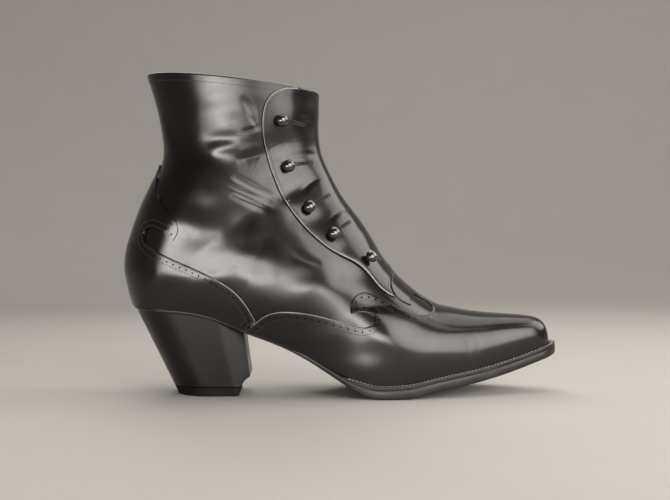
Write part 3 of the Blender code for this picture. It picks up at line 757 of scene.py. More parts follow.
class Term:
    """A number that varies over a surface: a socket with arithmetic that adds Math nodes."""

    def __init__(self, graph: Graph, socket: Socket) -> None:
        """Wrap a socket of a graph."""
        self.graph = graph
        self.socket = socket

    def __add__(self, other: Term | float) -> Term:
        """Sum."""
        return self.graph.maths("ADD", self, other)

    def __sub__(self, other: Term | float) -> Term:
        """Difference."""
        return self.graph.maths("SUBTRACT", self, other)

    def __rsub__(self, other: float) -> Term:
        """Difference from a number."""
        return self.graph.maths("SUBTRACT", other, self)

    def __mul__(self, other: Term | float) -> Term:
        """Product."""
        return self.graph.maths("MULTIPLY", self, other)

    __radd__ = __add__
    __rmul__ = __mul__


class Graph:
    """Node tree of one finish, on object coordinates in metres."""
    NOISE_ROUGHNESS: ClassVar[float] = 0.55
    # Numbers of a Mix node's colour sockets
    COLOUR_A: ClassVar[int] = 6
    COLOUR_B: ClassVar[int] = 7
    COLOUR_OUT: ClassVar[int] = 2

    def __init__(self, name: str) -> None:
        """Start a material with its Principled shader."""
        self.material = bpy.data.materials.new(name)
        self.material.use_nodes = True
        self.tree = self.material.node_tree
        self.shader = self.tree.nodes["Principled BSDF"]
        self.place = self.node("ShaderNodeTexCoord").outputs["Object"]

    def node(self, kind: str, settings: dict[str, Any] | None = None,
             inputs: dict[str | int, Any] | None = None) -> bpy.types.Node:
        """Add a node.

        Args:
            kind: Type of the node.
            settings: Attributes that are set first.
            inputs: Values or links of its sockets.

        Returns:
            The node.
        """
        made = self.tree.nodes.new(kind)
        for name, value in (settings or {}).items():
            setattr(made, name, value)
        for name, value in (inputs or {}).items():
            self.feed(made.inputs[name], value)
        return made

    def feed(self, socket: Socket, value: Any) -> None:
        """Link a socket to a term or socket, or set its value.

        Args:
            socket: Socket that is fed.
            value: Term, socket or plain value.
        """
        source = value.socket if isinstance(value, Term) else value
        if isinstance(source, Socket):
            self.tree.links.new(source, socket)
        else:
            socket.default_value = source

    def maths(self, operation: str, first: Term | float, second: Term | float = 0.0) -> Term:
        """One Math node."""
        made = self.node("ShaderNodeMath", {"operation": operation}, {0: first, 1: second})
        return Term(self, made.outputs[0])

    def ramp(self, value: Term, low: float, high: float) -> Term:
        """Soft rise of a value from 0 at low to 1 at high."""
        made = self.node("ShaderNodeMapRange", {"interpolation_type": "SMOOTHSTEP"}, {
            "Value": value, "From Min": low, "From Max": high})
        return Term(self, made.outputs["Result"])

    def noise(self, size: float, detail: float, stretch: Sequence[float] = (1.0, 1.0, 1.0)) -> Term:
        """Cloudy noise on the object's own coordinates.

        Args:
            size: Size of the lumps in millimetres.
            detail: Finer layers that are added.
            stretch: How far the lumps are drawn out along each axis.

        Returns:
            The noise, from 0 to 1.
        """
        scale = tuple(1.0 / share for share in stretch)
        mapped = self.node("ShaderNodeMapping", None, {"Vector": self.place, "Scale": scale})
        made = self.node("ShaderNodeTexNoise", None, {
            "Vector": mapped.outputs[0], "Scale": 1.0 / (size * MM), "Detail": detail,
            "Roughness": self.NOISE_ROUGHNESS})
        return Term(self, made.outputs["Fac"])

    def cells(self, size: float) -> Term:
        """Distance to the nearest middle of cells whose size is in millimetres."""
        made = self.node("ShaderNodeTexVoronoi", {"feature": "F1"}, {
            "Vector": self.place, "Scale": 1.0 / (size * MM)})
        return Term(self, made.outputs["Distance"])

    def tint(self, share: Term, low: Colour, high: Colour) -> Socket:
        """Colour between low and high by a share."""
        made = self.node("ShaderNodeMix", {"data_type": "RGBA"}, {
            "Factor": share, self.COLOUR_A: (*low, 1.0), self.COLOUR_B: (*high, 1.0)})
        return made.outputs[self.COLOUR_OUT]

    def bump(self, height: Term, depth: float) -> None:
        """Bump of a depth in millimetres on the shader's normal."""
        made = self.node("ShaderNodeBump", None, {
            "Strength": 1.0, "Distance": depth * MM, "Height": height})
        self.feed(self.shader.inputs["Normal"], made.outputs["Normal"])

    def set(self, **values: Any) -> None:
        """Set or link the shader's sockets, named with _ for a space."""
        for name, value in values.items():
            self.feed(self.shader.inputs[name.replace("_", " ")], value)


@dataclass(frozen=True)
class Finish:
    """What every finish has: a name, the two colours that it varies between, and a roughness."""

    name: str
    dark: Colour
    light: Colour
    roughness: float


@dataclass(frozen=True)
class LeatherFinish(Finish):
    """Polished leather: dark dye, fine grain, faint mottling and a thin wax coat."""

    coat: float
    coat_roughness: float = 0.16
    specular: float = 0.34
    grain_size: float = 0.75
    grain_depth: float = 0.018
    grain_share: float = 0.7
    pore_size: float = 0.4125
    ripple_size: float = 5.0
    ripple_depth: float = 0.0175
    patch_size: float = 26.0
    patch_dullness: float = 0.16
    wear_size: float = 9.0
    wear_range: tuple[float, float] = (0.52, 0.78)
    wear_dullness: float = 0.06
    wear_of_coat: float = 0.5

    def make(self) -> Material:
        """Build the material: grain from cells and noise, gloss that varies in soft patches.

        Returns:
            The material.
        """
        graph = Graph(self.name)
        patches = graph.noise(self.patch_size, 3.0)
        grain = graph.cells(self.grain_size)
        pores = graph.noise(self.pore_size, 1.0)
        ripple = graph.noise(self.ripple_size, 3.0)
        wear = graph.ramp(graph.noise(self.wear_size, 4.0), *self.wear_range)
        graph.set(
            Base_Color=graph.tint(patches, self.dark, self.light),
            Roughness=self.roughness + (patches - 0.5) * self.patch_dullness + wear * self.wear_dullness,
            Coat_Weight=self.coat * (1.0 - self.wear_of_coat * wear),
            Coat_Roughness=self.coat_roughness,
            Specular_IOR_Level=self.specular,
        )
        relief = grain * self.grain_share + pores * (1 - self.grain_share)
        graph.bump(relief + ripple * (self.ripple_depth / self.grain_depth), self.grain_depth)
        return graph.material


@dataclass(frozen=True)
class EdgeFinish(Finish):
    """Dyed and burnished edge of stacked or sole leather: rubbed patches and fine scratches."""

    depth: float = 0.05
    coat: float = 0.2
    coat_roughness: float = 0.25
    specular: float = 0.22
    rub_size: float = 14.0
    rub_range: tuple[float, float] = (0.45, 0.75)
    rub_dullness: float = 0.12
    scratch_size: float = 2.2
    scratch_dullness: float = 0.1

    def make(self) -> Material:
        """Build the material: rubbed patches and scratches from noise.

        Returns:
            The material.
        """
        graph = Graph(self.name)
        rub = graph.ramp(graph.noise(self.rub_size, 4.0), *self.rub_range)
        scratch = graph.noise(self.scratch_size, 3.0)
        graph.set(
            Base_Color=graph.tint(rub, self.dark, self.light),
            Roughness=self.roughness + rub * self.rub_dullness + (scratch - 0.5) * self.scratch_dullness,
            Coat_Weight=self.coat * (1.0 - rub),
            Coat_Roughness=self.coat_roughness,
            Specular_IOR_Level=self.specular,
        )
        graph.bump(scratch, self.depth)
        return graph.material


@dataclass(frozen=True)
class GlossFinish(Finish):
    """Glossy moulded button: near-black with faint clouding and hairline scratches."""

    coat: float = 1.0
    coat_roughness: float = 0.04
    cloud_size: float = 3.0
    cloud_depth: float = 0.02
    scratch_size: float = 0.8
    scratch_stretch: tuple[float, float, float] = (6.0, 1.0, 1.0)
    scratch_range: tuple[float, float] = (0.6, 0.8)
    scratch_dullness: float = 0.08

    def make(self) -> Material:
        """Build the material: clouding and scratches from noise.

        Returns:
            The material.
        """
        graph = Graph(self.name)
        cloud = graph.noise(self.cloud_size, 3.0)
        scratch = graph.ramp(graph.noise(self.scratch_size, 3.0, self.scratch_stretch), *self.scratch_range)
        graph.set(Base_Color=graph.tint(cloud, self.dark, self.light),
                  Roughness=self.roughness + scratch * self.scratch_dullness,
                  Coat_Weight=self.coat, Coat_Roughness=self.coat_roughness)
        graph.bump(cloud, self.cloud_depth)
        return graph.material


@dataclass(frozen=True)
class PlainFinish(Finish):
    """Even matt surface with a faint mottle, for the floor, the rubber, and the black discs and strips that
    paint the shade in the holes and slits.
    """

    lump: float = 6.0
    depth: float = 0.03
    specular: float = 0.5
    detail: float = 4.0
    dullness: float = 0.1

    def make(self) -> Material:
        """Build the material: mottle and a fine bump from noise.

        Returns:
            The material.
        """
        graph = Graph(self.name)
        mottle = graph.noise(self.lump, self.detail)
        graph.set(Base_Color=graph.tint(mottle, self.dark, self.light),
                  Roughness=self.roughness + (mottle - 0.5) * self.dullness,
                  Specular_IOR_Level=self.specular)
        graph.bump(mottle, self.depth)
        return graph.material


@dataclass(frozen=True)
class ThreadFinish(PlainFinish):
    """Waxed thread: the mottle is as fine as its twisted strands, with a dull sheen."""

    lump: float = 0.3
    depth: float = 0.05
    detail: float = 2.0
    dullness: float = 0.2


class Wardrobe:
    """All finishes of the boot, each made once."""

    def __init__(self) -> None:
        """Make each finish."""
        self.calf = LeatherFinish(
            "black calf", (0.0030, 0.0029, 0.0028), (0.0062, 0.0057, 0.0052), 0.20, 0.22).make()
        self.sole_edge = EdgeFinish(
            "sole edge", (0.010, 0.009, 0.009), (0.030, 0.027, 0.025), 0.36).make()
        self.stack = EdgeFinish(
            "heel stack", (0.003, 0.0027, 0.0024), (0.006, 0.0054, 0.0048), 0.34, depth=0.012).make()
        self.rubber = PlainFinish(
            "heel rubber", (0.003, 0.003, 0.003), (0.008, 0.0075, 0.007), 0.62, specular=0.12).make()
        self.lining = LeatherFinish(
            "lining", (0.060, 0.045, 0.034), (0.115, 0.090, 0.068), 0.55, 0.0).make()
        self.button = GlossFinish(
            "button gloss", (0.004, 0.004, 0.004), (0.012, 0.011, 0.010), 0.10).make()
        self.dark_thread = ThreadFinish(
            "dark thread", (0.006, 0.006, 0.006), (0.026, 0.024, 0.022), 0.38).make()
        self.pale_thread = ThreadFinish(
            "pale thread", (0.30, 0.275, 0.24), (0.58, 0.54, 0.48), 0.55).make()
        # Matte near-black that paints the shade at the bottom of the holes and in the buttonhole slits
        self.shade_black = PlainFinish(
            "painted hole shade", (0.002, 0.002, 0.002), (0.006, 0.006, 0.006), 0.9, lump=0.5).make()
        # Lighter edge colour: partly the raw cut edge, partly a painted highlight on the rounded edges
        self.edge_and_highlight = LeatherFinish(
            "raw edge with painted highlight", (0.15, 0.137, 0.12), (0.34, 0.31, 0.28), 0.42, 0.3).make()


# Sub-assemblies


@dataclass
class UpperSkin:
    """Quarters and shaft: the outer leather, its lining and the rolled collar."""

    form: UpperForm
    wardrobe: Wardrobe
    row_step: float = 0.9
    row_girth: float = -0.45
    row_samples: int = 800
    hidden_step: float = 2.4
    hidden_to: float = 6.0
    outer_columns: int = 141
    inner_columns: int = 81
    lining_from: float = 2.5
    lining_step: float = 2.5
    lining_columns: int = 91
    weld: float = 0.02
    rim_steps: int = 12
    rim_columns: int = 241
    stitch_drop: float = 2.0
    stitch_columns: int = 200

    def rows(self, start: float, end: float, step: float) -> Array:
        """Stations whose rows lie an even distance apart half way up the outer side.

        Args:
            start: First station.
            end: Last station.
            step: Distance between rows in millimetres.

        Returns:
            Stations.
        """
        fine = np.linspace(start, end, self.row_samples)
        along = lengths_along(self.form.at(places_at(fine, self.row_girth)))
        return np.interp(np.linspace(0, along[-1], int(along[-1] / step)), along, fine)

    def build(self) -> None:
        """Build the skin, the lining and the rim."""
        girth = np.concatenate((np.linspace(-1, 0, self.outer_columns),
                                np.linspace(0, 1, self.inner_columns)[1:]))
        stations = np.concatenate((self.rows(0.0, self.hidden_to, self.hidden_step),
                                   self.rows(self.hidden_to, COLLAR, self.row_step)[1:]))
        skin = self.form.lift(places_at(stations[:, None], girth))
        faces = grid_faces(len(stations), len(girth))[:, ::-1]
        add_piece("upper_leather", skin, faces, self.wardrobe.calf, Slot.LEATHER, ("upper",), weld=self.weld)
        girth = np.linspace(-1, 1, self.lining_columns)
        stations = self.rows(self.lining_from, COLLAR, self.lining_step)
        lining = self.form.lift(places_at(stations[:, None], girth), -WALL)
        faces = grid_faces(len(stations), len(girth))
        add_piece("upper_lining", lining, faces, self.wardrobe.lining, Slot.LINING, weld=self.weld)
        self.build_rim("collar_rim", -WALL, 0.0)

    def build_collar_stitches(self, start: float, end: float) -> None:
        """Stitch row an even distance below the rim, on both sides of the flap.

        Args:
            start: Girth where the flap starts on the outer side.
            end: Girth where it ends on the inner side.
        """
        row = StitchRow("collar_stitches", self.wardrobe.dark_thread, Slot.LEATHER)
        lines = []
        for first, last in ((-1.0, start), (end, 1.0)):
            girth = np.linspace(first, last, self.stitch_columns)
            climb = np.linalg.norm(self.form.read(places_at(COLLAR, girth))[1], axis=1)
            places = places_at(COLLAR - self.stitch_drop / climb, girth)
            lines.append(row.along(PathOnUpper(self.form, places)))
        row.build(lines)

    def build_rim(self, name: str, low: float, high: float, start: float = -1.0, end: float = 1.0) -> None:
        """Rolled edge on the collar: a half circle between two heights, carried round part of the girth.

        Args:
            name: Name of the piece.
            low: Height of its inner edge over the outer face.
            high: Height of its outer edge.
            start: First girth.
            end: Last girth.
        """
        girth = np.linspace(start, end, self.rim_columns)
        places = places_at(COLLAR, girth)
        up = unit(self.form.read(places)[1])
        middle = self.form.lift(places, (low + high) / 2)
        turn = np.linspace(0, np.pi, self.rim_steps)
        rim = middle[:, None] + (high - low) / 2 * swung(turn, self.form.normal(places), up)
        faces = grid_faces(len(girth), self.rim_steps).tolist()
        # A rim on a part of the girth is closed at both ends
        if end - start < 2:
            cap = np.arange(self.rim_steps)
            faces += [cap.tolist(), (cap[::-1] + (len(girth) - 1) * self.rim_steps).tolist()]
        add_piece(name, rim, faces, self.wardrobe.calf, Slot.LEATHER)


@dataclass
class PathOnUpper:
    """A line on the upper, as close-set places, with its tangent and its inward direction."""

    form: UpperForm
    places: Array
    inward: int = 1
    MOVE_STEPS: ClassVar[int] = 4
    INSET_STEP: ClassVar[float] = 0.8
    CLEAR_SHARE: ClassVar[float] = 0.96
    LONGEST_GAP: ClassVar[float] = 3.0
    FEWEST_PLACES: ClassVar[int] = 5

    def points(self, height: Array | float = 0.0) -> Array:
        """Points of the line at a height over the face."""
        return self.form.lift(self.places, height)

    def frames(self) -> tuple[Array, Array, Array]:
        """Directions along the line, from the slopes of the line and of the face.

        Returns:
            Tangent, outward normal and inward direction at each place.
        """
        tangent = unit(np.gradient(self.form.at(self.places), axis=0))
        normal = self.form.normal(self.places)
        return tangent, normal, unit(np.cross(normal, tangent)) * self.inward

    def moved(self, shift: Array) -> Array:
        """Places moved over the face by small vectors: a few least-squares steps on the face's slopes.

        Args:
            shift: A vector in millimetres for each place.

        Returns:
            The new places.
        """
        target = self.form.at(self.places) + shift
        places = self.places
        for _ in range(self.MOVE_STEPS):
            point, by_station, by_girth = self.form.read(places)
            slope = np.stack((by_station, by_girth), axis=2)
            square = np.einsum("nij,nik->njk", slope, slope) + DAMPING * np.eye(2)
            right = np.einsum("nij,ni->nj", slope, target - point)
            places = places + np.linalg.solve(square, right[:, :, None])[:, :, 0]
        return places

    def pieces(self) -> list[PathOnUpper]:
        """The line split where it has long gaps.

        Returns:
            Its stretches, without the shortest ones.
        """
        steps = np.linalg.norm(np.diff(self.points(), axis=0), axis=1)
        parts = np.split(self.places, np.flatnonzero(steps > self.LONGEST_GAP) + 1)
        return [replace(self, places=part) for part in parts if len(part) >= self.FEWEST_PLACES]

    def resampled(self, step: float) -> PathOnUpper:
        """The line with its places an even step apart.

        Args:
            step: Distance between places in millimetres.

        Returns:
            The new line.
        """
        along = lengths_along(self.form.at(self.places))
        even = np.linspace(0, along[-1], max(2, int(round(along[-1] / step)) + 1))
        return replace(self, places=between(along, self.places, even))

    def inset(self, distance: float, whole: PathOnUpper | None = None) -> PathOnUpper:
        """The line moved inwards over the face in short steps, without the stretches that fold back.

        Args:
            distance: How far it moves, in millimetres.
            whole: Whole edge to stay clear of, if the line is a part of it.

        Returns:
            The inset line.
        """
        edge = (whole or self).points()
        line = self
        steps = max(1, int(np.ceil(distance / self.INSET_STEP)))
        for _ in range(steps):
            line = replace(self, places=line.moved(line.frames()[2] * distance / steps))
        clear = closest(line.points(), edge)[1] > distance * self.CLEAR_SHARE
        station, girth = line.places.T
        on_face = (np.abs(girth) <= 1.0) & (station >= 0) & (station <= COLLAR)
        return replace(self, places=line.places[clear & on_face])


def traced(form: UpperForm, spots: Sequence[Point], side: Side = Side.OUTER) -> Array:
    """Places along a smooth side-view line through a few spots, about a millimetre apart.

    Args:
        form: Shape of the upper.
        spots: Spots (x, z) that the line goes through.
        side: Side of the foot that is looked at.

    Returns:
        Close-set places.
    """
    knots = np.asarray(spots, float)
    along = lengths_along(knots)
    return form.locate(spline(along, knots, np.linspace(0, along[-1], int(along[-1]) + 2)), side)


def flowed(form: UpperForm, places: Array) -> Array:
    """Places along a smooth line over the crest: a spline of the places by their length on the upper."""
    along = lengths_along(form.at(places))
    return spline(along, places, np.linspace(0, along[-1], int(along[-1]) + 2))


class Skive(NamedTuple):
    """Where a panel is pared thinner: an axis, the stretch along it, and the share taken off at its end."""

    axis: int
    low: float
    high: float
    share: float


class Unrolling(NamedTuple):
    """Upright axis that the back of a panel is unrolled about, and the radius of the roll."""

    axis: float
    radius: float


@dataclass
class Overlay:
    """A leather panel laid on the upper: its edge is rounded, and its holes are punched through.

    The panel is a triangulated sheet in station and girth. Its height follows the distance from the cut
    edge: a quarter round at the edge, then flat.
    """

    name: str
    form: UpperForm
    wardrobe: Wardrobe
    edge: PathOnUpper
    border: Array
    thickness: float
    spacing: float = 1.1
    holes: Array = field(default_factory=lambda: np.zeros((0, 2)))
    hole_radius: float = 0.52
    hole_sides: int = 10
    hole_clear: float = 1.5
    hole_cut: float = 0.9
    hole_sink: float = 0.1
    # Height, as a share of the gap, of the discs of painted shade under the holes
    floor_share: float = 0.6
    edge_rings: tuple[float, ...] = (0.12, 0.32, 0.6)
    edge_clear: float = 1.1
    edge_round: float = 0.5
    edge_round_share: float = 0.4
    wall_sink: float = 0.4
    chart_girth: float = -0.5
    chart_steps: int = 2201
    girth_length: float = 75.0
    skive: Skive = Skive(2, 0.0, 1.0, 0.0)
    unroll: Unrolling | None = None
    snap: float = 1e-7
    crease: float = 65.0
    weld: float = 0.03

    def full(self, points: Array) -> Array:
        """Height of the flat face at points: the leather's thickness, pared thinner along one axis."""
        axis, low, high, share = self.skive
        return GAP + self.thickness * (1 - share * smoothstep(low, high, points[..., axis]))

    def heights(self, points: Array, distance: Array | float) -> Array:
        """Height over the face by distance from the edge: a quarter round, then the full height.

        Args:
            points: Points of the face.
            distance: Their distance from the edge.

        Returns:
            Heights.
        """
        round_off = min(self.edge_round, self.thickness * self.edge_round_share)
        share = np.clip(distance / round_off, 0, 1)
        full = self.full(points)
        return full - np.minimum(round_off, full - GAP) * (1 - np.sqrt(1 - (1 - share) ** 2))

    def ruler(self) -> tuple[Array, Array]:
        """Stations, and the length along them at the chart's girth."""
        stations = np.linspace(0, COLLAR, self.chart_steps)
        return stations, lengths_along(self.form.at(places_at(stations, self.chart_girth)))

    def flat(self, places: Array) -> Array:
        """Chart of places in millimetres: the length along the stations at one girth, and the girth."""
        length = np.interp(places[:, 0], *self.ruler())
        return np.stack((length, places[:, 1] * self.girth_length), axis=1)

    def chart(self, places: Array) -> Array:
        """Flat spots that the panel is triangulated in: the back of the heel unrolled, or the plain chart.

        Ahead of the unrolled part a spot is (x, z). Behind it x is the arc about an upright axis.

        Args:
            places: Places.

        Returns:
            Flat spots.
        """
        if self.unroll is None:
            return self.flat(places)
        axis, radius = self.unroll
        x, y, z = self.form.at(places).T
        arc = axis - radius * np.arctan2(axis - x, np.abs(y))
        return np.stack((np.where(x > axis, x, arc), z), axis=1)

    def off_holes(self, places: Array) -> Array:
        """Distance of places from the middle of the nearest hole.

        Args:
            places: Places.

        Returns:
            Distances, endless if the panel has no holes.
        """
        if len(self.holes) == 0:
            return np.full(len(places), np.inf)
        return closest(self.form.at(places), self.form.at(self.holes))[1]

    def filling(self) -> Array:
        """Even lattice over the border's box, without what lies outside, at the edge or at a hole.

        Returns:
            Places, about the panel's spacing apart.
        """
        box = self.flat(self.border)
        rows, columns = (np.arange(low + self.spacing / 2, high, self.spacing)
                         for low, high in zip(box.min(axis=0), box.max(axis=0)))
        stations, along = self.ruler()
        rows = np.interp(rows, along, stations)[:, None]
        spread = places_at(rows, columns / self.girth_length).reshape(-1, 2)
        spread = spread[inside(self.chart(spread), self.chart(self.border))]
        spread = spread[closest(self.form.at(spread), self.edge.points())[1] > self.edge_clear]
        return spread[self.off_holes(spread) > self.hole_radius * self.hole_clear]

    def sheet(self) -> tuple[Array, Array, Array]:
        """Triangulate the panel, lift it onto the upper and add the walls of its edge and holes.

        Returns:
            Points, triangles of the face, and four-cornered faces of the walls.
        """
        inward = self.edge.frames()[2]
        outline = self.chart(self.border)
        rings = [self.edge.moved(inward * reach) for reach in self.edge_rings]
        rings = [ring[inside(self.chart(ring), outline)] for ring in rings]
        holes = self.hole_rings()
        places = np.concatenate((self.border, *rings, self.filling(), holes.reshape(-1, 2)))
        corners = np.arange(holes[:, :, 0].size).reshape(holes.shape[:2])
        sides = np.concatenate((ring_sides(np.arange(len(self.border))[None]),
                                ring_sides(corners + len(places) - corners.size)))
        made = delaunay_2d_cdt(self.chart(places).tolist(), sides.tolist(), [], 1, self.snap)
        spots = places[[numbers[0] for numbers in made[3]]]
        faces = np.array(made[2])[:, ::-1]
        faces = faces[self.off_holes(spots[faces].mean(axis=1)) > self.hole_radius * self.hole_cut]
        ground = self.form.at(spots)
        distance = closest(ground, self.edge.points())[1]
        points = self.form.lift(spots, self.heights(ground, distance))
        wall_points, walls = self.walls(holes)
        return np.concatenate((points, wall_points)), faces, walls + len(points)

    def build(self, replaces: Sequence[str], twin: Overlay | None = None) -> None:
        """Make the panel one piece, joined at the back seam with its twin on the other side.

        Args:
            replaces: Solids that the panel stands for.
            twin: The same panel on the inner side, if it is made of two halves.
        """
        halves = [half for half in (self, twin) if half is not None]
        if len(self.holes):
            # Matte black discs under the holes paint the shade at their bottoms
            rings = np.concatenate([half.hole_rings() for half in halves])
            floor = self.form.lift(rings, GAP * self.floor_share)
            corners = np.arange(rings[:, :, 0].size).reshape(rings.shape[:2])
            add_piece(f"{self.name}_painted_hole_shade", floor, corners, self.wardrobe.shade_black, Slot.LEATHER)
        sheets = [half.sheet() for half in halves]
        points, triangles = joined([(points, faces) for points, faces, _ in sheets])
        _, walls = joined([(points, faces) for points, _, faces in sheets])
        add_piece(self.name, points, triangles.tolist() + walls.tolist(), self.wardrobe.calf,
                  Slot.LEATHER, replaces, self.crease, self.weld)

    def hole_rings(self) -> Array:
        """Circle of each hole in the face's own plane, laid on the upper.

        Returns:
            Places round each hole.
        """
        turn = np.linspace(0, 2 * np.pi, self.hole_sides, endpoint=False)
        first = unit(self.form.read(self.holes)[1])
        around = swung(turn, first, np.cross(self.form.normal(self.holes), first))
        many = np.repeat(self.holes, self.hole_sides, axis=0)
        rim = PathOnUpper(self.form, many).moved(around.reshape(-1, 3) * self.hole_radius)
        return rim.reshape(-1, self.hole_sides, 2)

    def walls(self, holes: Array) -> tuple[Array, Array]:
        """Wall below the cut edge and the tubes of the holes, each a band of two rows.

        Args:
            holes: Places round each hole.

        Returns:
            Points and faces.
        """
        edge = self.edge.places
        top = self.form.lift(edge, self.heights(self.form.at(edge), 0.0))
        foot = self.form.lift(edge, -self.wall_sink)
        band = grid_faces(2, len(edge))[:, ::-self.edge.inward]
        rim = self.form.lift(holes, GAP + self.thickness)
        deep = self.form.lift(holes, -self.hole_sink)
        tubes = repeated(grid_faces(2, self.hole_sides, True)[:, ::-1], len(holes), 2 * self.hole_sides)
        return joined([(np.concatenate((top, foot)), band),
                       (np.stack((rim, deep), axis=1).reshape(-1, 3), tubes)])


@dataclass
class StitchRow:
    """A row of thread stitches: each is a small rounded bar that dips at both ends."""

    name: str
    material: Material
    slot: Slot
    pitch: float = 1.65
    fill: float = 0.72
    radius: float = 0.22
    slant: float = 8.0
    swell: tuple[float, ...] = (0.25, 0.85, 1.0, 0.85, 0.25)
    rise: tuple[float, ...] = (-0.16, 0.06, 0.12, 0.06, -0.16)
    SIDES: ClassVar[int] = 6
    # Two faces that close a six-sided end
    CAP: ClassVar[tuple[tuple[int, ...], ...]] = ((0, 1, 2, 3), (0, 3, 4, 5))

    def bars(self, points: Array, tangent: Array, normal: Array) -> tuple[Array, Array]:
        """Bars along a line: a six-sided round carried over a few places, sunk at the ends.

        Args:
            points: Middle of each stitch.
            tangent: Direction of each stitch.
            normal: Outward direction at each stitch.

        Returns:
            Points and faces of all bars.
        """
        angle = np.radians(self.slant)
        run = np.cos(angle) * tangent + np.sin(angle) * np.cross(normal, tangent)
        rows = len(self.swell)
        along = np.linspace(-1, 1, rows)[:, None] * self.pitch * self.fill / 2
        rise = np.array(self.rise)[:, None]
        radius = np.array(self.swell)[:, None, None] * self.radius
        turn = np.linspace(0, 2 * np.pi, self.SIDES, endpoint=False)
        line = points[:, None] + along * run[:, None] + rise * normal[:, None]
        solid = line[:, :, None] + radius * swung(turn, np.cross(normal, run), normal)[:, None]
        cap = np.array(self.CAP)
        faces = np.concatenate((grid_faces(rows, self.SIDES, True), cap[:, ::-1],
                                cap + (rows - 1) * self.SIDES))
        return solid.reshape(-1, 3), repeated(faces, len(points), rows * self.SIDES)

    def build(self, lines: Sequence[tuple[Array, Array, Array]]) -> None:
        """Make one piece of the stitches of several lines: their middles, tangents and normals."""
        points, faces = joined([self.bars(*line) for line in lines])
        add_piece(self.name, points, faces, self.material, self.slot)

    def along(self, path: PathOnUpper, panel: Overlay | None = None) -> tuple[Array, Array, Array]:
        """Stitches at an even pitch along a line.

        Args:
            path: The line.
            panel: Panel that they lie on, if it isn't the upper itself.

        Returns:
            Their middles, tangents and normals.
        """
        even = path.resampled(self.pitch)
        tangent, normal, _ = even.frames()
        height = 0.0 if panel is None else panel.full(even.points())
        return even.points(height)[1:-1], tangent[1:-1], normal[1:-1]

    def sew(self, rows: Sequence[tuple[PathOnUpper, Overlay]]) -> None:
        """Sew rows on panels, each split where its line has a gap."""
        self.build([self.along(part, panel) for row, panel in rows for part in row.pieces()])


@dataclass
class Cord:
    """A thin round cord along a line on the upper: a circle carried along the line, small at both ends."""

    name: str
    material: Material
    radius: float
    sides: int = 8
    step: float = 0.7
    tip: float = 0.3
    taper_steps: int = 5

    def build(self, paths: Sequence[PathOnUpper], panel: Overlay, sunk: float) -> None:
        """Make one piece of the cords on several lines.

        Args:
            paths: Lines on the upper.
            panel: Panel that the cords lie on.
            sunk: Depth of the cords' middle below the panel's face.
        """
        turn = np.linspace(0, 2 * np.pi, self.sides, endpoint=False)
        parts = []
        for path in paths:
            line = path.resampled(self.step)
            _, normal, inward = line.frames()
            number = np.arange(len(normal))
            ends = np.minimum(number, number[::-1])[:, None, None]
            radius = self.radius * np.clip((ends + self.tip) / self.taper_steps, 0, 1)
            middle = line.points(panel.full(line.points()) - sunk)
            solid = middle[:, None] + radius * swung(turn, inward, normal)
            faces = grid_faces(len(normal), self.sides, True)[:, ::path.inward]
            parts.append((solid.reshape(-1, 3), faces))
        add_piece(self.name, *joined(parts), self.material, Slot.LEATHER)


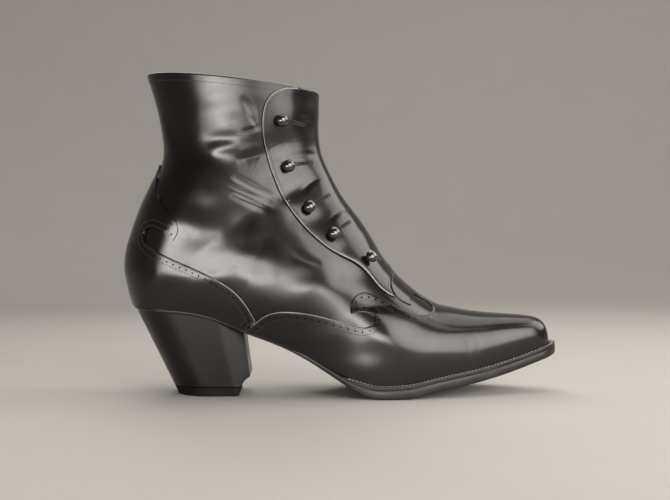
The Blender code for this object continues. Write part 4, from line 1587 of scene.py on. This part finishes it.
@dataclass
class Vamp:
    """Toe and vamp panel with its swan-neck edge, and the horns that reach up to the flap."""

    form: UpperForm
    wardrobe: Wardrobe
    tail: tuple[Point, ...] = (
        (-55.4, 47.0), (-50.0, 51.2), (-32.0, 54.1), (-12.6, 50.7), (6.5, 45.4),
        (15.5, 45.4), (19.2, 50.0), (14.5, 53.6), (4.2, 52.7))
    scroll: tuple[Point, ...] = (
        (4.2, 52.7), (4.0, 58.0), (7.3, 64.0), (12.7, 66.1), (19.0, 64.6), (28.0, 60.3), (39.0, 53.6),
        (47.0, 51.2), (54.5, 51.6), (58.3, 54.6), (55.5, 58.9), (50.0, 62.2), (45.6, 63.7), (42.8, 61.5),
        (43.2, 57.4))
    horn: tuple[Point, ...] = ((43.2, 57.4), (35.5, 61.4), (31.4, 66.0), (30.5, 71.0), (32.4, 75.6))
    tail_foot: float = 11.122
    throat: float = 7.62
    edge_row: float = 1.1
    hole_row: float = 2.9
    inner_row: float = 4.7
    hole_pitch: float = 4.6
    band_end: Point = (57.8, 53.6)
    sole_steps: int = 160
    toe_steps: int = 60
    skive: Skive = Skive(2, 52.5, 57.5, 0.62)
    highlight_from: int = 4
    highlight_to: int = 110

    def edge(self) -> tuple[PathOnUpper, list[PathOnUpper]]:
        """Edge through the traced spots, with the inner side mirrored from the outer one.

        Returns:
            The whole edge, and its banded part on each side.
        """
        tail = np.concatenate((((self.tail_foot, -1.0),), traced(self.form, self.tail)))
        outer = np.concatenate((tail, traced(self.form, self.scroll)[1:]))
        horn = self.form.locate(self.horn)
        top = flowed(self.form, np.concatenate((horn, ((self.throat, 0.0),), horn[::-1] * MIRROR)))
        whole = np.concatenate((outer, top[1:-1], outer[::-1] * MIRROR))
        last = closest(np.array((self.band_end,)), self.form.at(outer)[:, SIDE_VIEW])[0][0]
        band = outer[:last]
        edge, *bands = (PathOnUpper(self.form, places, -1).resampled(EDGE_STEP)
                        for places in (whole, band, band[::-1] * MIRROR))
        return edge, bands

    def build(self) -> list[tuple[PathOnUpper, Overlay]]:
        """Build the panel with holes punched through it and a lighter line along its tail's edge, partly raw
        edge and partly painted highlight.

        Returns:
            The band's stitch rows.
        """
        edge, bands = self.edge()
        sole = np.linspace(edge.places[0, 0], 0.0, self.sole_steps)[1:]
        toe = np.linspace(1.0, -1.0, self.toe_steps)[1:]
        border = np.concatenate((
            edge.places, places_at(sole, 1.0), places_at(0.0, toe), places_at(sole[-2::-1], -1.0)))
        rows = [band.inset(self.hole_row, edge).resampled(self.hole_pitch) for band in bands]
        holes = np.concatenate([row.places[1:-1] for row in rows])
        panel = Overlay("vamp_panel", self.form, self.wardrobe, edge, border, OVERLAY_THICKNESS,
                        holes=holes, skive=self.skive)
        panel.build(("vamp",))
        # Lighter cord on the tail's edge: partly raw edge, partly painted highlight
        edge_lines = [PathOnUpper(self.form, band.places[::order][self.highlight_from:self.highlight_to], -order)
                for band, order in zip(bands, (1, -1))]
        Cord("vamp_edge_highlight", self.wardrobe.edge_and_highlight, EDGE_HIGHLIGHT_RADIUS).build(edge_lines, panel, EDGE_HIGHLIGHT_RADIUS)
        return [(band.inset(row, edge), panel) for band in bands for row in (self.edge_row, self.inner_row)]


@dataclass
class Counter:
    """Heel counter with its curled edge and the long tail up the back seam, the same on both sides."""

    form: UpperForm
    wardrobe: Wardrobe
    foot: tuple[Point, ...] = ((-60.6, 44.4), (-58.0, 46.4), (-55.5, 48.4))
    curl: tuple[Point, ...] = (
        (-55.5, 48.4), (-59.9, 56.3), (-66.0, 64.3), (-78.0, 73.3), (-96.1, 82.4), (-113.3, 90.1),
        (-121.3, 95.0), (-124.7, 100.6), (-123.4, 105.2), (-119.0, 106.6), (-114.0, 104.6), (-106.5, 98.3))
    tab: tuple[Point, ...] = (
        (-106.5, 98.3), (-103.5, 104.0), (-104.6, 110.0), (-109.0, 115.7), (-114.2, 123.0), (-117.4, 131.0),
        (-118.4, 139.0))
    foot_station: float = 11.13
    tab_end: float = 19.8
    edge_row: float = 1.1
    hole_row: float = 2.8
    inner_row: float = 4.6
    hole_pitch: float = 4.3
    back_steps: int = 140
    chart_girth: float = 0.6
    unroll: Unrolling = Unrolling(-100.0, 31.0)
    highlight_from: int = 6
    highlight_to: int = 62

    def half(self, side: Side) -> tuple[Overlay, PathOnUpper]:
        """One half of the counter, up to the back seam.

        Args:
            side: Side of the foot.

        Returns:
            The panel, and the part of its edge that is banded.
        """
        sign = -side.value
        foot = np.concatenate((((self.foot_station, -1.0),), traced(self.form, self.foot)))
        band = np.concatenate((foot, traced(self.form, self.curl)[1:])) * (1, sign)
        tab = np.concatenate((traced(self.form, self.tab), ((self.tab_end, -1.0),))) * (1, sign)
        edge, band = (PathOnUpper(self.form, places, sign).resampled(EDGE_STEP)
                      for places in (np.concatenate((band, tab[1:])), band))
        back = np.linspace(self.tab_end, self.foot_station, self.back_steps)[1:-1]
        border = np.concatenate((edge.places, places_at(back, side.value)))
        holes = band.inset(self.hole_row, edge).resampled(self.hole_pitch)
        panel = Overlay("counter_panel", self.form, self.wardrobe, edge, border, OVERLAY_THICKNESS,
                        holes=holes.places[1:], chart_girth=self.chart_girth * side.value,
                        unroll=self.unroll)
        return panel, band

    def build(self) -> list[tuple[PathOnUpper, Overlay]]:
        """Build the panel with holes punched through it and a lighter line along the edge at its foot, partly
        raw edge and partly painted highlight.

        Returns:
            The band's stitch rows on both sides.
        """
        halves = [self.half(side) for side in Side]
        outer, inner = (panel for panel, _ in halves)
        outer.build(("counter",), inner)
        # Lighter cord along the counter's lower edge: partly raw edge, partly painted highlight
        edge_lines = [replace(band, places=band.places[self.highlight_from:self.highlight_to]) for _, band in halves]
        Cord("counter_edge_highlight", self.wardrobe.edge_and_highlight, EDGE_HIGHLIGHT_RADIUS).build(edge_lines, outer, EDGE_HIGHLIGHT_RADIUS)
        return [(band.inset(row, panel.edge), panel) for panel, band in halves
                for row in (self.edge_row, self.inner_row)]


@dataclass
class ButtonFlap:
    """Flap that closes over the outer side, with its corded edge, buttonholes and buttons."""

    form: UpperForm
    wardrobe: Wardrobe
    edge: tuple[Point, ...] = (
        (-28.6, 195.2), (-38.5, 194.2), (-46.5, 189.0), (-50.6, 178.0), (-50.3, 164.0), (-47.1, 149.4),
        (-40.5, 131.0), (-31.5, 116.0), (-19.0, 102.0), (-5.0, 91.2), (9.0, 83.7), (16.2, 77.0), (23.1, 69.0),
        (33.0, 62.5))
    end: tuple[Point, ...] = ((33.0, 62.5), (30.6, 66.0), (29.7, 71.2), (31.6, 76.2))
    seam: tuple[Point, ...] = (
        (29.8, 73.6), (25.5, 80.0), (18.0, 90.0), (8.0, 104.0), (-4.0, 119.0), (-16.0, 136.0), (-24.0, 150.0),
        (-28.0, 165.0), (-28.6, 180.0), (-26.5, 194.8))
    throat: float = 7.72
    buttons: tuple[Point, ...] = ((-38.3, 173.7), (-34.3, 145.8), (-21.4, 120.4), (-6.0, 103.6), (18.1, 88.9))
    button_radius: float = 4.0
    button_dome: float = 2.9
    button_lift: float = 3.7
    shank_radius: float = 1.5
    shank_height: float = 0.6
    shank_flare: float = 1.15
    head_steps: int = 22
    button_sides: int = 40
    settle_steps: int = 6
    holes: tuple[tuple[Point, Point], ...] = (
        ((-35.4, 174.6), (-26.1, 172.7)), ((-31.3, 147.3), (-20.9, 148.7)),
        ((-19.0, 121.7), (-9.6, 127.6)), ((-3.4, 105.6), (3.4, 110.1)), ((19.4, 90.2), (23.6, 86.0)))
    edge_row: float = 1.6
    purl_pitch: float = 0.7
    purl_shift: float = 0.8
    purl_end: float = 0.6
    slit_radius: float = 0.45
    slit_sunk: float = 0.12
    cord_radius: float = 0.42
    cord_sunk: float = 0.45
    spacing: float = 0.85
    top_steps: int = 60
    skive: Skive = Skive(0, 12.0, 27.0, 0.5)

    def outline(self) -> tuple[PathOnUpper, PathOnUpper]:
        """Free edge down the outer side, over the crest at the end and up the inner seam.

        Returns:
            The whole edge, and its outer part.
        """
        outer = traced(self.form, self.edge)
        outer[0, 0] = COLLAR
        inner = traced(self.form, self.seam, Side.INNER)
        inner[-1, 0] = COLLAR
        end = np.concatenate((self.form.locate(self.end), ((self.throat, 0.0),), inner[:1]))
        whole = np.concatenate((outer, flowed(self.form, end)[1:-1], inner))
        edge, front = (PathOnUpper(self.form, places).resampled(EDGE_STEP) for places in (whole, outer))
        return edge, front

    def build(self, skin: UpperSkin) -> list[tuple[PathOnUpper, Overlay]]:
        """Build flap, rim and buttons.

        Args:
            skin: The upper, which makes the rim.

        Returns:
            The edge's stitch row.
        """
        edge, front = self.outline()
        start, end = edge.places[0, 1], edge.places[-1, 1]
        top = np.linspace(end, start, self.top_steps)[1:-1]
        border = np.concatenate((edge.places, places_at(COLLAR, top)))
        flap = Overlay("flap_panel", self.form, self.wardrobe, edge, border, FLAP_THICKNESS,
                       self.spacing, skive=self.skive)
        flap.build(("button_flap",))
        skin.build_rim("flap_rim", 0.0, GAP + FLAP_THICKNESS, start, end)
        # The flap's cord is lighter: partly its raw cut edge, partly painted highlight
        Cord("flap_cord", self.wardrobe.edge_and_highlight, self.cord_radius).build([front], flap, self.cord_sunk)
        self.build_buttons()
        self.build_buttonholes(flap)
        skin.build_collar_stitches(start, end)
        return [(edge.inset(self.edge_row), flap)]

    def build_buttonholes(self, flap: Overlay) -> None:
        """Worked buttonholes: a matte black strip that paints the slit's shade, with close thread bars on
        both sides and across its end.

        Args:
            flap: The flap's panel.
        """
        row = StitchRow("buttonhole_thread", self.wardrobe.dark_thread, Slot.LEATHER,
                        pitch=0.85, fill=1.5, radius=0.37, slant=0.0)
        lines, slits = [], []
        for spots in self.holes:
            slit = PathOnUpper(self.form, traced(self.form, spots)).resampled(self.purl_pitch)
            slits.append(slit)
            tangent, normal, across = slit.frames()
            for shift in (-self.purl_shift, self.purl_shift):
                beside = replace(slit, places=slit.moved(across * shift))
                lines.append((beside.points(flap.full(beside.points())), across, normal))
            end = slit.points(flap.full(slit.points()))[-1:] + tangent[-1:] * self.purl_end
            lines.append((end, across[-1:], normal[-1:]))
        row.build(lines)
        # Each slit is a matte black strip that paints the shade in the cut
        Cord("buttonhole_slit_shade", self.wardrobe.shade_black, self.slit_radius).build(slits, flap, self.slit_sunk)

    def profile(self) -> Array:
        """Half profile of a button from its top: a domed head, its underside and the shank.

        Returns:
            Radius and height of each corner.
        """
        lowest = -np.arccos(self.shank_radius / self.button_radius)
        turn = np.linspace(np.pi / 2, lowest, self.head_steps)
        head = np.stack((self.button_radius * np.cos(turn),
                         self.button_lift + self.button_dome * np.sin(turn)), axis=1)
        shank = ((self.shank_radius, self.shank_height), (self.shank_radius * self.shank_flare, 0.0))
        return np.concatenate((head, shank, ((0.0, 0.0),)))

    def build_buttons(self) -> None:
        """Buttons turned about the upper's normal, so that each head shows at its spot."""
        spots = np.array(self.buttons)
        stand_off = GAP + FLAP_THICKNESS + GAP
        normal = np.tile((0.0, -1.0, 0.0), (len(spots), 1))
        for _ in range(self.settle_steps):
            place = self.form.locate(spots - normal[:, SIDE_VIEW] * (stand_off + self.button_lift))
            normal = self.form.normal(place)
        foot = self.form.lift(place, stand_off)
        turn = np.linspace(0, 2 * np.pi, self.button_sides, endpoint=False)
        profile = self.profile()
        faces = grid_faces(len(profile), len(turn), True)[:, ::-1]
        for number, (start, axis) in enumerate(zip(foot, normal), 1):
            across = unit(np.cross(axis, (0.0, 0.0, 1.0)))
            ring = swung(turn, across, np.cross(axis, across))
            points = start + profile[:, None, :1] * ring + profile[:, None, 1:] * axis
            add_piece(f"button_{number}_turned", points, faces, self.wardrobe.button, Slot.BUTTON,
                      (f"button_{number}",))


class Ring(NamedTuple):
    """Ring of a plate: share of the half width, distance outside the outline, height over a face."""

    share: float
    grow: float
    height: float


@dataclass
class OutsoleUnit:
    """Outsole, welt with its stitching, and the footbed."""

    sole: SoleForm
    wardrobe: Wardrobe
    edge_round: float = 1.0
    welt_inset: float = 0.8
    welt_outset: float = 4.8
    welt_height: float = 2.5
    welt_from: float = -4.0
    welt_to: float = 38.0
    welt_taper: float = 16.0
    welt_sink: float = 0.1
    welt_least: float = 0.15
    welt_section: tuple[Point, ...] = (
        (0.0, 0.0), (0.0, 1.0), (0.55, 1.02), (0.6, 0.9), (0.68, 0.9), (0.73, 1.02),
        (0.93, 1.0), (0.985, 0.9), (1.0, 0.7), (1.0, 0.28), (0.99, 0.1), (0.97, 0.0))
    stitch_line: float = 3.3
    stitch_level: float = 0.92
    edge_steps: int = 6
    insole_inset: float = 3.4
    insole_thickness: float = 3.0
    insole_round: float = 0.8

    def plate(self, top: Sequence[Ring], low: Sequence[Ring], margin: bool) -> tuple[Array, Array]:
        """Closed plate over the sole's plan: rings of the outline from the top's middle to the bottom's.

        Args:
            top: Rings on the sole's upper face.
            low: Rings on its underside.
            margin: Whether the outline stands out by the sole's margin.

        Returns:
            Points and faces.
        """
        rows = []
        levels = [self.sole.top] * len(top) + [self.sole.underside] * len(low)
        for (share, grow, height), level in zip((*top, *low), levels):
            x, y = (self.grown(grow) if margin else self.sole.outline(grow)).T
            middle = (self.sole.edge(x, Side.OUTER) + self.sole.edge(x, Side.INNER)) / 2
            rows.append(np.stack((x, middle * (1 - share) + y * share, level(x) + height), axis=1))
        grid = np.stack(rows)
        return grid, grid_faces(len(rows), grid.shape[1], True)

    def grown(self, grow: float) -> Array:
        """Closed outline that stands out by the sole's margin and a distance more.

        Args:
            grow: Distance outside the margin.

        Returns:
            Points (x, y).
        """
        base = self.sole.outline(0.0)
        ahead = np.roll(base, -1, axis=0) - np.roll(base, 1, axis=0)
        out = unit(np.stack((ahead[:, 1], -ahead[:, 0]), axis=1))
        return base + out * (self.sole.value("margin", base[:, 0]) + grow)[:, None]

    def build(self) -> None:
        """Build outsole, footbed, welt and welt stitching."""
        size = self.edge_round
        top = [Ring(0.0, 0.0, 0.0), Ring(0.5, 0.0, 0.0), Ring(1.0, -0.5, 0.0),
               Ring(1.0, -0.12, -0.1), Ring(1.0, 0.0, -0.45)]
        low = [Ring(1.0, -size * (1 - np.cos(turn)), size * (1 - np.sin(turn)))
               for turn in np.linspace(0, np.pi / 2, self.edge_steps)]
        low += [Ring(share, -size, 0.0) for share in (0.75, 0.5, 0.25)]
        points, faces = self.plate(top, [*low, Ring(0.0, 0.0, 0.0)], True)
        add_piece("outsole_leather", points, faces, self.wardrobe.sole_edge, Slot.SOLE, ("outsole",))
        inset = -self.insole_inset
        level = GAP + self.insole_thickness
        top = [Ring(0.0, inset, level), Ring(0.5, inset, level),
               Ring(1.0, inset - self.insole_round, level), Ring(1.0, inset, level - self.insole_round),
               Ring(1.0, inset, GAP), Ring(0.0, inset, GAP)]
        points, faces = self.plate(top, [], False)
        add_piece("footbed", points, faces, self.wardrobe.lining, Slot.LINING, ("insole",))
        self.build_welt()

    def welt_line(self, grow: float) -> Array:
        """Plan line of the welt: the outer side to the toe, then the inner side back to the ball.

        Args:
            grow: Distance outside the feather line.

        Returns:
            Points (x, y).
        """
        outer = self.sole.stretch(grow, self.welt_from, PAST_TOE, Side.OUTER)
        inner = self.sole.stretch(grow, self.welt_to, PAST_TOE, Side.INNER)
        return np.concatenate((outer, inner[-2::-1]))

    def build_welt(self) -> None:
        """Welt strip: a flat band with rounded edges and a stitch groove, carried round the forefoot."""
        along = lengths_along(self.welt_line(self.welt_outset))
        ends = np.minimum(along, along[-1] - along)
        height = self.welt_height * smoothstep(0, self.welt_taper, ends) + self.welt_least
        rows = []
        for share, level in self.welt_section:
            x, y = self.welt_line(self.welt_inset + share * (self.welt_outset - self.welt_inset)).T
            rows.append(np.stack((x, y, self.sole.top(x) - self.welt_sink + height * level), axis=1))
        grid = np.stack(rows)
        faces = grid_faces(len(rows), grid.shape[1])[:, ::-1]
        add_piece("welt_strip", grid, faces, self.wardrobe.sole_edge, Slot.SOLE, ("welt",))
        row = StitchRow("welt_stitches", self.wardrobe.pale_thread, Slot.SOLE,
                        pitch=2.4, fill=0.84, radius=0.46, slant=4.0)
        plan = self.welt_line(self.stitch_line)
        share = lengths_along(plan) / lengths_along(plan)[-1]
        level = self.stitch_level * np.interp(share, along / along[-1], height)
        line = np.column_stack((plan, self.sole.top(plan[:, 0]) - self.welt_sink + level))
        length = lengths_along(line)
        even = np.arange(self.welt_taper / 2, length[-1] - self.welt_taper / 2, row.pitch)
        middle = between(length, line, even)
        tangent = unit(np.gradient(middle, axis=0))
        side = np.stack((-tangent[:, 1], tangent[:, 0], 0 * tangent[:, 0]), axis=1)
        row.build([(middle, tangent, unit(np.cross(tangent, unit(side))))])


class HeelPlan(NamedTuple):
    """Plan of the heel at a height: back and front ends, half width, and size of the front chamfers."""

    z: float
    back: float
    front: float
    half: float
    chamfer_length: float
    chamfer_width: float


@dataclass
class HeelUnit:
    """Slanted stacked heel with chamfered front corners, and its rubber lift."""

    sole: SoleForm
    wardrobe: Wardrobe
    foot: HeelPlan = HeelPlan(0.0, -106.2, -57.4, 21.5, 10.5, 5.0)
    head: HeelPlan = HeelPlan(70.0, -140.8, -67.6, 27.0, 17.5, 8.0)
    lift_height: float = 5.5
    joint_gap: float = 0.12
    scoop_x: float = -53.9
    scoop_z: float = 1.0
    scoop_radius: float = 12.2
    arc_steps: int = 25
    bevel_height: float = 0.35
    bevel_share: float = 0.02
    seat_overlap: float = 0.15
    first_height: float = 40.0
    settle_steps: int = 6
    crease: float = 24.0

    def ring(self, z: Array) -> Array:
        """Plan ring at heights z, one for each of its corners: round back, straight sides, chamfers.

        The breast stands at the lesser of the slanted front and the scoop's circle, and a chamfer that
        the scoop cuts short is read further along.

        Args:
            z: Heights, a row of corners for each ring.

        Returns:
            Points of the rings.
        """
        share = (z - self.foot.z) / (self.head.z - self.foot.z)
        _, back, front, half, length, width = (low + share * (high - low)
                                               for low, high in zip(self.foot, self.head))
        depth = np.sqrt(np.maximum(self.scoop_radius**2 - (z - self.scoop_z) ** 2, 0.0))
        breast = np.where(depth > 0, np.minimum(front, self.scoop_x - depth), front)
        cut = np.clip((front - breast) / length, 0, 1)
        front_y = half - width * (1 - cut)
        kink_x = front - length
        place = self.corners()[None, :]
        chamfer = np.clip(place - 1, 0, 1)
        side = np.clip(place - 2, 0, 1)
        arc = np.clip(place - 3, 0, 1) * np.pi
        x = breast + (kink_x - breast) * chamfer
        x = np.where(place > 2, kink_x + (back + half - kink_x) * side, x)
        x = np.where(place > 3, back + half - half * np.sin(arc), x)
        y = np.where(place <= 1, place * front_y, front_y + (half - front_y) * chamfer)
        y = np.where(place > 3, half * np.cos(arc), y)
        return np.stack((x, y, z), axis=2)

    def corners(self) -> Array:
        """Corner numbers of half the ring: 0 to 1 breast, to 2 chamfer, to 3 side, to 3.5 half the back."""
        return np.concatenate((
            np.linspace(0, 0.97, 8), (0.995,), np.linspace(1.03, 1.97, 6),
            np.linspace(2.03, 2.95, 8), np.linspace(3, 3.5, self.arc_steps)))

    def block(self, low: float, top: float | None) -> tuple[Array, Array]:
        """Closed block between a level foot and a head that is level or follows the seat.

        Args:
            low: Height of the foot.
            top: Height of a level head, or None for the outsole's underside.

        Returns:
            Points and faces.
        """
        # Rows stand closer in the lowest third, where the scoop is
        share = np.concatenate((np.linspace(0, 0.3, 16), np.linspace(0.34, 1.0, 12)))[:, None]
        z = low + share * np.full(len(self.corners()), self.first_height)
        for _ in range(self.settle_steps):
            roof = self.sole.underside(self.ring(z)[:, :, 0]) + self.seat_overlap if top is None else top
            z = low + share * (roof - low) + 0 * z
        right = self.ring(z)
        rings = np.concatenate((right, right[:, -2:0:-1] * (1, -1, 1)), axis=1)
        middle = rings.mean(axis=1, keepdims=True)
        rounded = rings[:1] + (middle[:1] - rings[:1]) * self.bevel_share
        rounded[:, :, 2] = low
        rings[0, :, 2] = low + self.bevel_height
        first = middle[:1] * (1, 1, 0) + rounded * (0, 0, 1)
        last = middle[-1:] * (1, 1, 0) + rings[-1:] * (0, 0, 1)
        grid = np.concatenate((first, rounded, rings, last))
        return grid, grid_faces(len(grid), grid.shape[1], True)

    def build(self) -> None:
        """Build the stacked block and the lift."""
        points, faces = self.block(self.lift_height + self.joint_gap, None)
        add_piece("heel_stack", points, faces, self.wardrobe.stack, Slot.HEEL, ("heel_block",), self.crease)
        points, faces = self.block(0.0, self.lift_height - self.joint_gap)
        add_piece("heel_top_piece", points, faces, self.wardrobe.rubber, Slot.RUBBER, ("heel_lift",),
                  self.crease)


@dataclass(frozen=True)
class Softbox:
    """Rectangular soft light: place, aim and size in millimetres, power in watts.

    The spread is the angle in degrees of the cone that a grid on the light leaves open.
    """

    name: str
    place: tuple[float, float, float]
    aim: tuple[float, float, float]
    width: float
    height: float
    power: float
    spread: float = 180.0

    def add(self, colour: Colour) -> None:
        """Set the light up.

        Args:
            colour: Colour of the light.
        """
        lamp = bpy.data.lights.new(self.name, "AREA")
        lamp.shape = "RECTANGLE"
        lamp.size = self.width * MM
        lamp.size_y = self.height * MM
        lamp.energy = self.power
        lamp.color = colour
        lamp.spread = np.radians(self.spread)
        light = bpy.data.objects.new(self.name, lamp)
        light.visible_camera = False
        light.location = Vector(self.place) * MM
        aim = Vector(self.aim) - Vector(self.place)
        light.rotation_euler = aim.to_track_quat("-Z", "Y").to_euler()
        bpy.context.scene.collection.objects.link(light)


@dataclass
class Studio:
    """Pale floor that curves up all round, soft lights and the photo's level camera."""

    floor_radius: float = 1050.0
    floor_curve: float = 1450.0
    floor_rows: int = 12
    floor_columns: int = 96
    curve_steps: int = 24
    wall_height: float = 2200.0
    camera_distance: float = 620.0
    camera_height: float = 92.8
    camera_yaw: float = 2.5
    aim_x: float = -4.2
    focal_pixels: float = 940.0
    frame_pixels: float = 670.0
    sensor_width: float = 36.0
    clip_start: float = 10.0
    clip_end: float = 20000.0
    light_colour: Colour = (1.0, 0.955, 0.91)
    world_colour: Colour = (0.93, 0.95, 1.0)
    world_strength: float = 0.06
    lights: tuple[Softbox, ...] = (
        Softbox("low softbox", (-250, -900, 90), (-60, 0, 110), 920, 176, 0.95, 60),
        Softbox("right softbox", (720, -1020, 470), (20, 0, 80), 1100, 850, 7.5, 100),
        Softbox("side softbox", (1100, 40, 790), (30, 0, 80), 1000, 800, 4.5, 110),
        Softbox("ceiling panel", (500, 700, 2300), (400, 1050, 0), 2600, 2200, 40),
        Softbox("back softbox", (-200, 900, 950), (0, 0, 90), 900, 600, 1.1, 70),
    )

    def build(self) -> None:
        """Build floor, lights, world and camera."""
        self.build_floor()
        for light in self.lights:
            light.add(self.light_colour)
        world = bpy.data.worlds.new("studio world")
        world.use_nodes = True
        background = world.node_tree.nodes["Background"]
        background.inputs["Color"].default_value = (*self.world_colour, 1.0)
        background.inputs["Strength"].default_value = self.world_strength
        bpy.context.scene.world = world
        bpy.context.scene.view_settings.view_transform = "Standard"
        self.build_camera()

    def build_floor(self) -> None:
        """Floor of revolution: flat to its radius, then a quarter circle up into a wall."""
        turn = np.linspace(0, np.pi / 2, self.curve_steps)[1:]
        level = np.linspace(0, self.floor_radius, self.floor_rows)
        edge = self.floor_radius + self.floor_curve
        radius = np.concatenate((level, self.floor_radius + self.floor_curve * np.sin(turn), (edge,)))
        height = np.concatenate((0 * level, self.floor_curve * (1 - np.cos(turn)), (self.wall_height,)))
        around = np.linspace(0, 2 * np.pi, self.floor_columns, endpoint=False)
        grid = np.stack((radius[:, None] * np.cos(around), radius[:, None] * np.sin(around),
                         height[:, None] + 0 * around), axis=2)
        faces = grid_faces(len(radius), self.floor_columns, True)
        mesh = bpy.data.meshes.new("studio_floor")
        mesh.from_pydata((grid.reshape(-1, 3) * MM).tolist(), [], faces.tolist())
        mesh.polygons.foreach_set("use_smooth", np.ones(len(mesh.polygons), bool))
        pale = PlainFinish(
            "pale floor", (0.37, 0.357, 0.338), (0.40, 0.386, 0.366), 0.75, lump=90.0, depth=0.0)
        mesh.materials.append(pale.make())
        floor = bpy.data.objects.new("studio_floor", mesh)
        bpy.context.scene.collection.objects.link(floor)

    def build_camera(self) -> None:
        """Level camera on the outer side, turned by its yaw."""
        yaw = np.radians(self.camera_yaw)
        lens = bpy.data.cameras.new("photo camera")
        lens.sensor_width = self.sensor_width
        lens.lens = self.sensor_width * self.focal_pixels / self.frame_pixels
        lens.clip_start = self.clip_start * MM
        lens.clip_end = self.clip_end * MM
        camera = bpy.data.objects.new("photo camera", lens)
        camera.location = Vector((
            self.aim_x * np.cos(yaw) - self.camera_distance * np.sin(yaw),
            -self.aim_x * np.sin(yaw) - self.camera_distance * np.cos(yaw),
            self.camera_height)) * MM
        camera.rotation_euler = (np.pi / 2, 0, -yaw)
        bpy.context.scene.collection.objects.link(camera)
        bpy.context.scene.camera = camera


def main() -> None:
    """Dress the boot piece by piece and keep its sizes."""
    logging.basicConfig(level=logging.INFO, format="%(name)s: %(message)s")
    for old in list(bpy.data.objects):
        bpy.data.objects.remove(old, do_unlink=True)
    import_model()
    wardrobe = Wardrobe()
    sole = SoleForm()
    form = UpperForm(sole)
    skin = UpperSkin(form, wardrobe)
    skin.build()
    rows = Vamp(form, wardrobe).build() + Counter(form, wardrobe).build()
    StitchRow("panel_stitches", wardrobe.dark_thread, Slot.LEATHER).sew(rows)
    rows = ButtonFlap(form, wardrobe).build(skin)
    StitchRow("flap_stitches", wardrobe.dark_thread, Slot.LEATHER).sew(rows)
    OutsoleUnit(sole, wardrobe).build()
    HeelUnit(sole, wardrobe).build()
    Studio().build()


if __name__ == "__main__":
    main()
